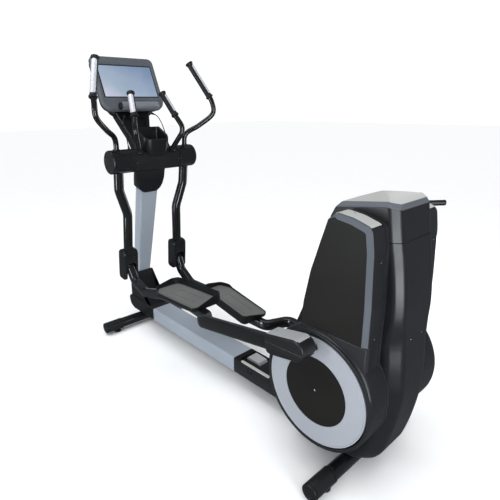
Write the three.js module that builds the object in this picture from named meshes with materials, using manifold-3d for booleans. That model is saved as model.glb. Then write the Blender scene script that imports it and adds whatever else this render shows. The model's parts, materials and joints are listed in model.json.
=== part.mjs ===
// Elliptical trainer with swinging handles, rear drive tower and levelling feet.
// Millimetres, +Z up, +Y towards the console, +X to the user's right.
// The origin lies on the floor, under the middle of the machine.
import * as THREE from 'three';
import { mergeVertices } from 'three/addons/utils/BufferGeometryUtils.js';
import Module from 'manifold-3d';

const wasm = await Module();
wasm.setup();

// ---------------------------------------------------------------- driving dimensions
const GAP = 0.3;                 // clearance between touching pieces
const STEP = 0.6;                // overshoot of a cutting tool past a face
const ACROSS = 400;              // half width of a cutting tool that passes right through

const HUB_Y = 672;               // axis that both swing arms turn about
const HUB_Z = 1113;
const HUB_R = 65;
const HUB_SEAM = 157;            // fixed housing ends here, swing hubs start
const HUB_END = 272;
const SHAFT_R = 15;

const CRANK_Y = -744;            // axis of the crank and both discs
const CRANK_Z = 391;
const THROW = 185;               // crank radius
const DISC_R = 218;
const DISC_CORE_R = 138;
const RIM_R = 236;
const DISC_OUT = 236;            // outer face of the discs
const PIN_END = 240;
const PIN_R = 12;
const PULLEY_R = 140;
const ROTOR_PULLEY_R = 35;
const PULLEY_X = [22, 42];        // span of both pulleys, left to right
const ROTOR = { y: -780, z: 800 };
const ROTOR_AXLE_R = 10;

const ARM_LENGTH = 1506;         // crank pin to lower pivot
const SWING_LENGTH = 638;        // hub axis to lower pivot
const PIVOT_X = 170;
const ARM_X = 301;               // pedal arm beside the disc
const ARM_R = 24;
const SWING_TUBE_R = 25;
const PIVOT_PIN_R = 10;
const HANDLE_R = 14.5;
const GRIP_R = 18;
// Pedal tray in its arm's frame: x across, s along the arm, heights from the arm's axis.
const TRAY = { x0: 74, x1: 258, s0: 722, s1: 1112, low: -74 + GAP, floor: -61, wall: -20, lip: -53 };
const MAT_THICK = 4.7;

const LEAN = THREE.MathUtils.degToRad(14.5);    // mast leans towards the user
const MAST_Y = 874;              // rear face of the mast where the boot ends
const MAST_Z = 369;
const MAST_DEPTH = 70;
const HUB_IN_MAST = { y: -9.4, z: 771 };        // hub axis in the mast's own frame

const SCREEN_Y = 877;            // middle of the screen
const SCREEN_Z = 1545;
const SCREEN_TILT = THREE.MathUtils.degToRad(-23.4);
const SCREEN_HALF_W = 175;
const SCREEN_HALF_H = 98;

const BASE_HALF_W = 67;          // covers over the long floor beam
const BASE_TOP = 164;
const BASE_LOW = 84;
const SILVER_REAR = -95;
const SILVER_FRONT = 688;

const TOWER_HALF_W = 122;
const POD_OUT = 215;             // outer wall of a side pod, under its panel
const PANEL_OUT = 225;
const PANEL_LOW = 640;           // lower edge of the textured panel
const SEAM_Z = 978;              // joint between tower cover and its cap

const REAR_BAR_Y = -824;
const FRONT_BAR_Y = 866;
const BAR_Z = 49;
const BAR_R = 31;
const CAP_R = 34;
const FOOT_LIFT = 14;            // floor to the underside of an end cap
const FOOT_STEM = 8;

// ---------------------------------------------------------------- materials
const finish = (color, roughness, metalness = 0) => () =>
  new THREE.MeshStandardMaterial({ color, roughness, metalness });
const blackPaint = finish(0x16181c, 0.35, 0.2);
const blackPlastic = finish(0x1b1d20, 0.5);
const charcoal = finish(0x26282b, 0.55);
const olive = finish(0x23221e, 0.6);
const greyPlastic = finish(0x77797b, 0.5);
const silverPaint = finish(0xb4bac4, 0.35, 0.5);
const bezelGrey = finish(0x5c6066, 0.45);
const rubber = finish(0x1a1a1b, 0.85);
const matGrey = finish(0x6b6b69, 0.8);
const steel = finish(0xc4c6ca, 0.22, 1);
const machined = finish(0x8e9298, 0.35, 1);
const glass = finish(0x7f93ad, 0.1);
const cableBlack = finish(0x141414, 0.6);

// ---------------------------------------------------------------- shape helpers
const vec = (x, y, z) => new THREE.Vector3(x, y, z);
const plan = (points) => new THREE.Shape(points.map(([a, b]) => new THREE.Vector2(a, b)));

function toSolid(geometry) {
  const bare = geometry.clone();
  bare.deleteAttribute('normal');
  bare.deleteAttribute('uv');
  const merged = mergeVertices(bare, 1e-4);
  return new wasm.Manifold(new wasm.Mesh({
    numProp: 3,
    vertProperties: new Float32Array(merged.attributes.position.array),
    triVerts: new Uint32Array(merged.index.array),
  }));
}

function toGeometry(solid) {
  const mesh = solid.getMesh();
  const geometry = new THREE.BufferGeometry();
  geometry.setAttribute('position', new THREE.BufferAttribute(mesh.vertProperties, 3));
  geometry.setIndex(new THREE.BufferAttribute(mesh.triVerts, 1));
  return geometry;
}

const join = (...parts) => toGeometry(parts.map(toSolid).reduce((whole, piece) => whole.add(piece)));
const cut = (body, ...tools) =>
  toGeometry(tools.map(toSolid).reduce((whole, tool) => whole.subtract(tool), toSolid(body)));
const common = (a, b) => toGeometry(toSolid(a).intersect(toSolid(b)));

function box(x0, x1, y0, y1, z0, z1) {
  const block = new THREE.BoxGeometry(x1 - x0, y1 - y0, z1 - z0);
  return block.translate((x0 + x1) / 2, (y0 + y1) / 2, (z0 + z1) / 2);
}

function rodX(radius, x0, x1, y, z, sides = 32) {
  const rod = new THREE.CylinderGeometry(radius, radius, x1 - x0, sides);
  return rod.rotateZ(Math.PI / 2).translate((x0 + x1) / 2, y, z);
}

function rodZ(radius, x, y, z0, z1, sides = 24) {
  const rod = new THREE.CylinderGeometry(radius, radius, z1 - z0, sides);
  return rod.rotateX(Math.PI / 2).translate(x, y, (z0 + z1) / 2);
}

// An outline drawn in (y, z), made solid from x0 to x1.
function slabX(shape, x0, x1, curveSegments = 3) {
  const slab = new THREE.ExtrudeGeometry(shape, { depth: x1 - x0, bevelEnabled: false, curveSegments });
  const axes = new THREE.Matrix4().makeBasis(vec(0, 1, 0), vec(0, 0, 1), vec(1, 0, 0));
  return slab.applyMatrix4(axes).translate(x0, 0, 0);
}

// An outline drawn in (x, z), made solid from y0 to y1.
function slabY(shape, y0, y1, curveSegments = 3) {
  const slab = new THREE.ExtrudeGeometry(shape, { depth: y1 - y0, bevelEnabled: false, curveSegments });
  return slab.rotateX(Math.PI / 2).translate(0, y1, 0);
}

// An outline drawn in (x, y), made solid from z0 to z1.
function slabZ(shape, z0, z1, curveSegments = 3) {
  const slab = new THREE.ExtrudeGeometry(shape, { depth: z1 - z0, bevelEnabled: false, curveSegments });
  return slab.translate(0, 0, z0);
}

// Rectangle with four corner radii, in the order low-left, low-right, high-right, high-left.
function roundedRect(x0, x1, y0, y1, ...radii) {
  const [a, b, c, d] = radii.length === 1 ? Array(4).fill(radii[0]) : radii;
  const shape = new THREE.Shape();
  shape.moveTo(x0 + a, y0);
  shape.lineTo(x1 - b, y0);
  shape.absarc(x1 - b, y0 + b, b, -Math.PI / 2, 0);
  shape.lineTo(x1, y1 - c);
  shape.absarc(x1 - c, y1 - c, c, 0, Math.PI / 2);
  shape.lineTo(x0 + d, y1);
  shape.absarc(x0 + d, y1 - d, d, Math.PI / 2, Math.PI);
  shape.lineTo(x0, y0 + a);
  shape.absarc(x0 + a, y0 + a, a, Math.PI, Math.PI * 1.5);
  return shape;
}

// A route that passes exactly through its stations, one extrusion step between each two.
class Route extends THREE.Curve {
  constructor(stations) {
    super();
    this.stations = stations;
  }

  getPoint(t, target = new THREE.Vector3()) {
    const place = t * (this.stations.length - 1);
    const i = Math.min(Math.floor(place + 1e-9), this.stations.length - 2);
    return target.copy(this.stations[i]).lerp(this.stations[i + 1], place - i);
  }

  getPointAt(u, target) {
    return this.getPoint(u, target);
  }

  getTangentAt(u, target) {
    return this.getTangent(u, target);
  }
}

// Straight runs between the corners, each corner rounded to the bend radius.
function bentRoute(corners, bend, arcSteps = 3) {
  const stations = [corners[0]];
  for (let i = 1; i < corners.length - 1; i += 1) {
    const back = corners[i - 1].clone().sub(corners[i]);
    const ahead = corners[i + 1].clone().sub(corners[i]);
    const half = (Math.PI - back.angleTo(ahead)) / 2;
    const setback = Math.min(bend * Math.tan(half), back.length() * 0.48, ahead.length() * 0.48);
    const from = corners[i].clone().addScaledVector(back.normalize(), setback);
    const to = corners[i].clone().addScaledVector(ahead.normalize(), setback);
    const arc = new THREE.QuadraticBezierCurve3(from, corners[i], to);
    stations.push(...arc.getPoints(arcSteps));
  }
  stations.push(corners[corners.length - 1]);
  return new Route(stations);
}

// The same route carried on a little past both ends.
function lengthened(route, by) {
  const stations = [...route.stations];
  const first = stations[0].clone().sub(stations[1]).setLength(by).add(stations[0]);
  const last = stations.at(-1).clone().sub(stations.at(-2)).setLength(by).add(stations.at(-1));
  return new Route([first, ...stations.slice(1, -1), last]);
}

function tube(route, radius, sides = 12) {
  const section = new THREE.Shape().absarc(0, 0, radius, 0, Math.PI * 2);
  return new THREE.ExtrudeGeometry(section, {
    steps: route.stations.length - 1,
    extrudePath: route,
    curveSegments: sides / 2,
    bevelEnabled: false,
  });
}

// A solid of revolution about the line from one point towards another.
function turned(profile, from, towards, segments = 20) {
  const body = new THREE.LatheGeometry(profile.map(([r, h]) => new THREE.Vector2(r, h)), segments);
  const axis = towards.clone().sub(from).normalize();
  const turn = new THREE.Quaternion().setFromUnitVectors(vec(0, 1, 0), axis);
  return body.applyQuaternion(turn).translate(from.x, from.y, from.z);
}

function inMastFrame(geometry) {
  return geometry.rotateX(LEAN).translate(0, MAST_Y, MAST_Z);
}

// ---------------------------------------------------------------- assembly helpers
const machine = new THREE.Group();

function place(name, geometry, material, parent = machine) {
  const mesh = new THREE.Mesh(geometry, material());
  mesh.name = name;
  parent.add(mesh);
  return mesh;
}

const SIDES = [
  { name: 'left', sign: -1, crankAngle: Math.PI / 2 },
  { name: 'right', sign: 1, crankAngle: -Math.PI / 2 },
];

// Corners given for the right side, with x outboard, put on the side asked for.
const onSide = (side, corners) => corners.map(([x, y, z]) => vec(x * side.sign, y, z));

// ---------------------------------------------------------------- floor frame
function baseFrame() {
  const beam = box(-38, 38, -850, 950, 92, 150);
  const nose = box(-34, 34, 940, 965, 120, 150);
  const saddles = [REAR_BAR_Y, FRONT_BAR_Y].map((y) => box(-38, 38, y - 30, y + 30, BAR_Z + BAR_R + GAP, 100));
  const stub = inMastFrame(box(-34, 34, 8, 30, -250, -150 - GAP));
  const post = box(-50, -12, -790, -700, 140, 960);
  const bracket = box(56, 68, -790, -698, 140, 450);
  const shelf = box(-50, 68, -790, -698, 130, 160);
  const whole = join(beam, nose, ...saddles, stub, post, bracket, shelf);
  const beamRoom = box(-34, 34, -860, 936, 96, 146);
  const postRoom = box(-46, -16, -786, -704, 164, 970);
  const axleBore = rodX(SHAFT_R + GAP, -60, 90, CRANK_Y, CRANK_Z, 20);
  const rotorBore = rodX(ROTOR_AXLE_R + GAP, -60, 90, ROTOR.y, ROTOR.z, 16);
  return cut(whole, beamRoom, postRoom, axleBore, rotorBore);
}

place('base_frame', baseFrame(), blackPaint);

function hollowUnder(outline, inset, x, wall) {
  return cut(slabX(plan(outline), -x, x), slabX(plan(inset), -x + wall, x - wall));
}

place('base_cover', hollowUnder(
  [[SILVER_REAR, BASE_LOW + 2], [SILVER_FRONT, BASE_LOW + 2], [SILVER_FRONT, BASE_TOP], [SILVER_REAR, BASE_TOP]],
  [[SILVER_REAR - STEP, 0], [SILVER_FRONT + STEP, 0], [SILVER_FRONT + STEP, BASE_TOP - 4],
    [SILVER_REAR - STEP, BASE_TOP - 4]],
  BASE_HALF_W, 4), silverPaint);

function rearBaseCover() {
  const front = SILVER_REAR - GAP;
  const rear = -506;
  const shell = cut(
    join(box(-BASE_HALF_W, BASE_HALF_W, rear, front, BASE_LOW, BASE_TOP),
      slabX(plan([[front - 40, 160], [front - 55, 186], [front - 165, 190], [front - 190, 160]]), -46, 46)),
    box(-42, 42, rear - 1, front + 1, 0, 154),
    box(-63, -52, rear + 4, front - 22, 128, 200),
    box(52, 63, rear + 4, front - 22, 128, 200));
  return cut(shell, rodX(RIM_R + 4, 60, 110, CRANK_Y, CRANK_Z, 48), rodX(RIM_R + 4, -110, -60, CRANK_Y, CRANK_Z, 48));
}
place('rear_base_cover', rearBaseCover(), blackPlastic);

function frontBaseCover() {
  const outer = new THREE.Shape();
  outer.moveTo(SILVER_FRONT + GAP, BASE_LOW);
  outer.lineTo(SILVER_FRONT + GAP, BASE_TOP + 2);
  outer.quadraticCurveTo(838, 176, 868, 366);
  outer.lineTo(947, 347);
  outer.quadraticCurveTo(984, 300, 1002, 232);
  outer.quadraticCurveTo(1012, 150, 948, BASE_LOW);
  const inner = new THREE.Shape();
  inner.moveTo(SILVER_FRONT - 2, BASE_LOW - 4);
  inner.lineTo(SILVER_FRONT - 2, BASE_TOP - 4);
  inner.lineTo(845, BASE_TOP - 2);
  inner.lineTo(882, 330);
  inner.lineTo(945, 320);
  inner.quadraticCurveTo(990, 250, 994, 200);
  inner.quadraticCurveTo(1000, 150, 942, BASE_LOW - 4);
  const block = slabX(outer, -BASE_HALF_W, BASE_HALF_W, 5);
  const room = slabX(inner, -BASE_HALF_W + 4, BASE_HALF_W - 4, 5);
  const socket = inMastFrame(mastBlock(GAP, -180, 100));
  return cut(block, room, socket);
}

// The tapered box of the mast in its own frame, grown by a clearance.
function mastBlock(grow, z0, z1) {
  const half = (z) => 46 + (z / 555) * 13 + grow;
  const outline = plan([[-half(z0), z0], [half(z0), z0], [half(z1), z1], [-half(z1), z1]]);
  return slabY(outline, -grow, MAST_DEPTH + grow);
}
place('front_base_cover', frontBaseCover(), blackPlastic);

function mast() {
  const { y, z } = HUB_IN_MAST;
  const column = cut(mastBlock(0, -150, z - 30), mastBlock(-4, -160, z - 60));
  const crossTube = rodX(44, -HUB_SEAM + 4, HUB_SEAM - 4, y, z);
  const stubs = rodX(SHAFT_R, -HUB_END + 12, HUB_END - 12, y, z, 20);
  return inMastFrame(join(column, crossTube, stubs));
}
place('mast', mast(), silverPaint);

// ---------------------------------------------------------------- floor bars and feet
const BARS = [
  { name: 'rear', y: REAR_BAR_Y, half: 345, cap: 132, footX: 246 },
  { name: 'front', y: FRONT_BAR_Y, half: 320, cap: 115, footX: 238 },
];
for (const bar of BARS) {
  const reach = bar.half - bar.cap - GAP;
  place(`${bar.name}_stabilizer`, rodX(BAR_R, -reach, reach, bar.y, BAR_Z, 20), blackPaint);
  for (const side of SIDES) {
    const inner = vec(side.sign * (bar.half - bar.cap), bar.y, BAR_Z);
    const outer = vec(side.sign * bar.half, bar.y, BAR_Z);
    const profile = [[0, 0], [CAP_R - 1, 0], [CAP_R, 3], [CAP_R, bar.cap - 6], [CAP_R - 6, bar.cap], [0, bar.cap]];
    const footX = side.sign * bar.footX;
    const socket = rodZ(FOOT_STEM + GAP, footX, bar.y, 0, BAR_Z + 10, 14);
    place(`${bar.name}_cap_${side.name}`, cut(turned(profile, inner, outer, 18), socket), blackPlastic);
    const foot = turned([[0, 0], [20, 0], [22, 4], [22, 9], [FOOT_STEM, FOOT_LIFT - 2], [FOOT_STEM, BAR_Z + 5],
      [0, BAR_Z + 5]], vec(footX, bar.y, 0), vec(footX, bar.y, 1), 14);
    place(`${bar.name}_foot_${side.name}`, foot, rubber);
  }
}

// ---------------------------------------------------------------- hub, tray, neck and console

const FIXED_HANDLE = [[104, 631, 1156], [108, 622, 1166], [158, 562, 1276], [132, 606, 1349], [126.5, 619.3, 1370.5]];
const FIXED_GRIP_TOP = [99, 686, 1478];
const fixedRoute = (side) => bentRoute(onSide(side, FIXED_HANDLE), 60);

function hubHousing() {
  const { y, z } = HUB_IN_MAST;
  const barrel = inMastFrame(rodX(HUB_R, -HUB_SEAM + GAP, HUB_SEAM - GAP, y, z));
  const skirt = new THREE.Shape();
  skirt.moveTo(-92, z - 20);
  skirt.lineTo(-90, z - 125);
  skirt.quadraticCurveTo(-82, z - 205, -42, z - 212);
  skirt.lineTo(42, z - 212);
  skirt.quadraticCurveTo(82, z - 205, 90, z - 125);
  skirt.lineTo(92, z - 20);
  const plinth = plan([[-94, -17], [94, -17], [94, 18], [70, MAST_DEPTH + 7], [-70, MAST_DEPTH + 7], [-94, 18]]);
  const apron = inMastFrame(common(slabY(skirt, -16, MAST_DEPTH + 6, 4), slabZ(plinth, z - 230, z)));
  const room = inMastFrame(rodX(HUB_R - 6, -HUB_SEAM - 1, HUB_SEAM + 1, y, z));
  const mastRoom = inMastFrame(mastBlock(1, z - 260, z - 20));
  const handleRooms = SIDES.map((side) => tube(lengthened(fixedRoute(side), 6), HANDLE_R + GAP));
  return cut(join(barrel, apron), room, mastRoom, ...handleRooms);
}
place('hub_housing', hubHousing(), blackPlastic);

const hubClear = () => inMastFrame(rodX(HUB_R + GAP, -HUB_SEAM, HUB_SEAM, HUB_IN_MAST.y, HUB_IN_MAST.z));

function accessoryTray() {
  const side = plan([[592, 1128], [597, 1229], [640, 1262], [700, 1290], [724, 1290], [724, 1140]]);
  const front = new THREE.Shape();
  front.moveTo(-46, 1120);
  front.lineTo(46, 1120);
  front.lineTo(68, 1180);
  front.lineTo(68, 1300);
  front.lineTo(-68, 1300);
  front.lineTo(-68, 1180);
  const block = common(slabX(side, -70, 70), slabY(front, 560, 760));
  const bin = box(-62, 62, 603, 716, 1190, 1320);
  return cut(block, bin, hubClear());
}
place('accessory_tray', accessoryTray(), blackPlastic);

const NECK_LEAN = THREE.MathUtils.degToRad(-28);
const inNeckFrame = (geometry) => geometry.rotateX(NECK_LEAN).translate(0, 750, 1150);
const inScreenFrame = (geometry) => geometry.rotateX(SCREEN_TILT).translate(0, SCREEN_Y, SCREEN_Z);

function consoleBack() {
  const neck = inNeckFrame(slabY(plan([[-58, -20], [58, -20], [66, 90], [116, 262], [-116, 262], [-66, 90]]), -12, 48));
  const rim = inScreenFrame(slabY(roundedRect(-192, 192, -168, 144, 58, 58, 34, 34), 26 + GAP, 62, 3));
  const hump = inScreenFrame(slabY(roundedRect(-150, 150, -186, 104, 50), 58, 92, 3));
  return cut(join(neck, rim, hump), hubClear(), box(-120, 120, 700, 724 + GAP, 1140, 1300));
}
place('console_back', consoleBack(), blackPlastic);

function consoleBezel() {
  const face = inScreenFrame(slabY(roundedRect(-202, 202, -174, 150, 62, 62, 34, 34), 0, 26, 4));
  const { x, z } = { x: SCREEN_HALF_W + GAP, z: SCREEN_HALF_H + GAP };
  const window = inScreenFrame(box(-x, x, -1, 8, -z, z));
  return cut(face, window);
}
place('console_bezel', consoleBezel(), bezelGrey);
place('console_screen', inScreenFrame(
  box(-SCREEN_HALF_W, SCREEN_HALF_W, 2, 8 - GAP, -SCREEN_HALF_H, SCREEN_HALF_H)), glass);
place('console_ledge', inScreenFrame(
  slabX(roundedRect(-40, -GAP, -178, -138, 8), -114, 140, 2)), bezelGrey);

const gripProfile = (length) => [[0, 0], [GRIP_R + 4, 0], [GRIP_R + 4, 10], [GRIP_R, 14], [GRIP_R, length - 16],
  [GRIP_R + 5, length - 8], [GRIP_R + 2, length], [0, length]];

// A rubber grip from its collar to its cap, with a steel contact plate let into its outer side.
function gripPair(side, from, to, handleRoute) {
  const start = onSide(side, [from])[0];
  const end = onSide(side, [to])[0];
  const length = start.distanceTo(end);
  const axis = end.clone().sub(start).normalize();
  const outward = vec(side.sign, -1.1, 0);
  outward.addScaledVector(axis, -outward.dot(axis)).normalize();
  const body = turned(gripProfile(length), start, end, 16);
  const frame = new THREE.Matrix4().makeBasis(outward, axis.clone().cross(outward), axis).setPosition(start);
  const sector = (inner, outer, spread) => {
    const shape = new THREE.Shape();
    shape.absarc(0, 0, outer, -spread, spread);
    shape.absarc(0, 0, inner, spread, -spread, true);
    return shape;
  };
  const plate = slabZ(sector(GRIP_R - 1.6, GRIP_R + 0.8, 0.9), 22, length - 24, 4).applyMatrix4(frame);
  const recess = slabZ(sector(GRIP_R - 2, GRIP_R + 6, 0.92), 22 - GAP, length - 24 + GAP, 4).applyMatrix4(frame);
  const bore = tube(lengthened(handleRoute, GAP), HANDLE_R + GAP);
  return { body: cut(body, recess, bore), plate };
}

for (const side of SIDES) {
  place(`fixed_handle_${side.name}`, tube(fixedRoute(side), HANDLE_R), blackPaint);
  const grip = gripPair(side, FIXED_HANDLE[3], FIXED_GRIP_TOP, fixedRoute(side));
  place(`fixed_grip_${side.name}`, grip.body, rubber);
  place(`fixed_plate_${side.name}`, grip.plate, steel);
}

const CABLES = [
  { name: 'sensor_cable_left', radius: 2.6, points: [[-84, 812, 1352], [-112, 776, 1320], [-124, 740, 1270],
    [-130, 712, 1215], [-132, 698, 1176]] },
  { name: 'sensor_cable_right', radius: 2.6, points: [[112, 826, 1362], [126, 800, 1350], [134, 772, 1318],
    [137, 744, 1268], [136, 716, 1212], [134, 700, 1176]] },
];
for (const cable of CABLES) {
  const curve = new THREE.CatmullRomCurve3(cable.points.map((point) => vec(...point)));
  place(cable.name, tube(new Route(curve.getSpacedPoints(16)), cable.radius, 8), cableBlack);
}

// ---------------------------------------------------------------- drive tower and side pods
const TOWER_REAR = [[-868, 84], [-912, 96], [-944, 134], [-966, 196], [-988, 290], [-1003, 400], [-1003, 500],
  [-994, 640], [-990, 780], [-974, 910]];
const TOWER_FRONT = [[-640, 860], [-590, 660], [-524, 500], [-506, 391], [-512, 300], [-530, 190], [-530, 84]];

function towerCover() {
  const outer = plan([...TOWER_REAR, [-961, SEAM_Z], [-680, SEAM_Z], ...TOWER_FRONT]);
  const shrink = ([y, z], step) => [y + step, z];
  const inner = plan([...TOWER_REAR.map((p) => shrink(p, 6)), [-955, SEAM_Z + 1], [-686, SEAM_Z + 1],
    ...TOWER_FRONT.map((p) => shrink(p, -6))]);
  const floor = box(-ACROSS, ACROSS, -1100, -400, 0, 60);
  const shell = cut(slabX(outer, -TOWER_HALF_W, TOWER_HALF_W), slabX(inner, -TOWER_HALF_W + 5, TOWER_HALF_W - 5),
    floor);
  const barRoom = rodX(BAR_R + 6, -ACROSS, ACROSS, REAR_BAR_Y, BAR_Z, 20);
  const beamRoom = box(-44, 44, -560, -480, 60, 156);
  const coverRoom = box(-BASE_HALF_W - GAP, BASE_HALF_W + GAP, -560, -480, 60, BASE_TOP + GAP);
  const axleRoom = rodX(SHAFT_R + 12, -ACROSS, ACROSS, CRANK_Y, CRANK_Z, 24);
  return cut(shell, barRoom, beamRoom, coverRoom, axleRoom);
}
place('tower_cover', towerCover(), charcoal);

function towerCap() {
  const outer = plan([[-961, SEAM_Z + GAP], [-946, 1070], [-934, 1096], [-905, 1108], [-840, 1117], [-775, 1115],
    [-742, 1104], [-700, 1058], [-680, SEAM_Z + GAP]]);
  const inner = plan([[-955, SEAM_Z - 1], [-941, 1068], [-902, 1102], [-840, 1111], [-778, 1109], [-747, 1099],
    [-706, 1056], [-686, SEAM_Z - 1]]);
  return cut(slabX(outer, -TOWER_HALF_W, TOWER_HALF_W), slabX(inner, -TOWER_HALF_W + 5, TOWER_HALF_W - 5));
}
place('tower_cap', towerCap(), greyPlastic);

// Side pod outline in (y, z): the upper housing, grown by a margin.
const podOutline = (m) => plan([[-934 - m, 500], [-937 - m, 780], [-930 - m, 970], [-921 - m, 1030],
  [-912 - m, 1042 + m], [-850, 1062 + m], [-790, 1070 + m], [-766 + m, 1060 + m], [-734 + m, 970], [-696 + m, 853],
  [-670 + m, 730], [-659 + m, 640], [-664 + m, 500]]);

function sidePod(side) {
  const x = (value) => value * side.sign;
  const slab = (shape, a, b) => slabX(shape, Math.min(x(a), x(b)), Math.max(x(a), x(b)));
  const rod = (radius, a, b, sides = 44) =>
    rodX(radius, Math.min(x(a), x(b)), Math.max(x(a), x(b)), CRANK_Y, CRANK_Z, sides);
  const inner = TOWER_HALF_W + GAP;
  const housing = join(slab(podOutline(0), inner, POD_OUT), rod(RIM_R, inner, DISC_OUT));
  return cut(housing, slab(podOutline(-5), inner - 1, POD_OUT - 6), rod(RIM_R - 5, inner - 1, POD_OUT - 16),
    rod(DISC_R + 4, POD_OUT - 10, DISC_OUT + 1), rod(SHAFT_R + 12, inner, DISC_OUT, 24));
}

function podPanel(side) {
  const x = (value) => value * side.sign;
  const span = [x(POD_OUT + GAP), x(PANEL_OUT)].sort((a, b) => a - b);
  const face = slabX(podOutline(-3), ...span);
  return cut(face, box(-ACROSS, ACROSS, -1100, -500, 400, PANEL_LOW));
}

for (const side of SIDES) {
  place(`pod_${side.name}`, sidePod(side), charcoal);
  place(`pod_panel_${side.name}`, podPanel(side), olive);
}

const liftBoss = rodX(16, PANEL_OUT + GAP, PANEL_OUT + 16, -853, 1040, 20);
const liftBar = turned([[0, 0], [11, 0], [11, 78], [7, 86], [0, 88]], vec(236, -853, 1042), vec(281, -898, 1044), 14);
place('lift_handle', join(liftBoss, liftBar), blackPlastic);

// ---------------------------------------------------------------- crank, discs, belt and rotor
function crankShaft() {
  const pieces = [rodX(SHAFT_R, -219, 219, CRANK_Y, CRANK_Z, 20)];
  for (const side of SIDES) {
    const pinZ = CRANK_Z + THROW * Math.sin(side.crankAngle);
    const x = [208, 219].map((value) => value * side.sign).sort((a, b) => a - b);
    const pinX = [208, PIN_END].map((value) => value * side.sign).sort((a, b) => a - b);
    const [low, high] = [CRANK_Z, pinZ].sort((a, b) => a - b);
    pieces.push(box(...x, CRANK_Y - 22, CRANK_Y + 22, low - 22, high + 22));
    pieces.push(rodX(PIN_R, ...pinX, CRANK_Y, pinZ, 16));
  }
  return join(...pieces);
}
place('crank_shaft', crankShaft(), machined);

place('drive_pulley', cut(rodX(PULLEY_R, ...PULLEY_X, CRANK_Y, CRANK_Z, 48),
  rodX(SHAFT_R + GAP, 10, 60, CRANK_Y, CRANK_Z, 24)), machined);
place('generator_rotor', join(rodX(ROTOR_AXLE_R, -48, 90, ROTOR.y, ROTOR.z, 16),
  rodX(ROTOR_PULLEY_R, ...PULLEY_X, ROTOR.y, ROTOR.z, 24), rodX(104, 50, 86, ROTOR.y, ROTOR.z, 40)), machined);

// Belt loop: outer and inner outlines of two circles and their common tangents.
function beltLoop(grow) {
  const big = PULLEY_R + grow;
  const small = ROTOR_PULLEY_R + grow;
  const dy = ROTOR.y - CRANK_Y;
  const dz = ROTOR.z - CRANK_Z;
  const along = Math.atan2(dz, dy);
  const lap = Math.acos((big - small) / Math.hypot(dy, dz));
  const shape = new THREE.Shape();
  shape.absarc(CRANK_Y, CRANK_Z, big, along + lap, along - lap + Math.PI * 2);
  shape.absarc(ROTOR.y, ROTOR.z, small, along - lap, along + lap);
  return shape;
}
place('drive_belt', cut(slabX(beltLoop(4), PULLEY_X[0] + 3, PULLEY_X[1] - 3, 10),
  slabX(beltLoop(1.5), PULLEY_X[0], PULLEY_X[1], 10)), rubber);

for (const side of SIDES) {
  const span = (a, b) => [a * side.sign, b * side.sign].sort((p, q) => p - q);
  const pinZ = CRANK_Z + THROW * Math.sin(side.crankAngle);
  place(`disc_core_${side.name}`, rodX(DISC_CORE_R, ...span(220, DISC_OUT - 2), CRANK_Y, CRANK_Z, 40), olive);
  place(`disc_ring_${side.name}`, cut(rodX(DISC_R, ...span(220, DISC_OUT), CRANK_Y, CRANK_Z, 48),
    rodX(DISC_CORE_R + GAP, ...span(215, DISC_OUT + 1), CRANK_Y, CRANK_Z, 40),
    rodX(PIN_R + GAP, ...span(215, DISC_OUT + 1), CRANK_Y, pinZ, 16)), silverPaint);
}

// ---------------------------------------------------------------- swing arms, in a frame at the hub axis
// Where the two links of known length meet, in front of the crank pin.
function lowerPivot(side) {
  const pin = { y: CRANK_Y + THROW * Math.cos(side.crankAngle), z: CRANK_Z + THROW * Math.sin(side.crankAngle) };
  const span = Math.hypot(HUB_Y - pin.y, HUB_Z - pin.z);
  const toHub = Math.atan2(HUB_Z - pin.z, HUB_Y - pin.y);
  const atPin = Math.acos((ARM_LENGTH ** 2 + span ** 2 - SWING_LENGTH ** 2) / (2 * ARM_LENGTH * span));
  const tilt = toHub - atPin;
  const pivot = { y: pin.y + ARM_LENGTH * Math.cos(tilt), z: pin.z + ARM_LENGTH * Math.sin(tilt) };
  return { pin, pivot, tilt, swing: Math.atan2(pivot.y - HUB_Y, HUB_Z - pivot.z) };
}

const LOWER_TUBE = [[218, 0, -40], [216, 4, -165], [166, 4, -315], [PIVOT_X, 0, -580]];
const UPPER_TUBE = [[224, 0, 40], [233, 0, 126], [300, -44, 183], [373, -86, 259], [372, -72, 320], [362, -45, 361]];
const GRIP_START = [369, -56, 343];
const GRIP_TOP = [293, 61, 529];
const upperRoute = (side) => new Route(new THREE.CatmullRomCurve3(onSide(side, UPPER_TUBE)).getPoints(15));

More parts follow.
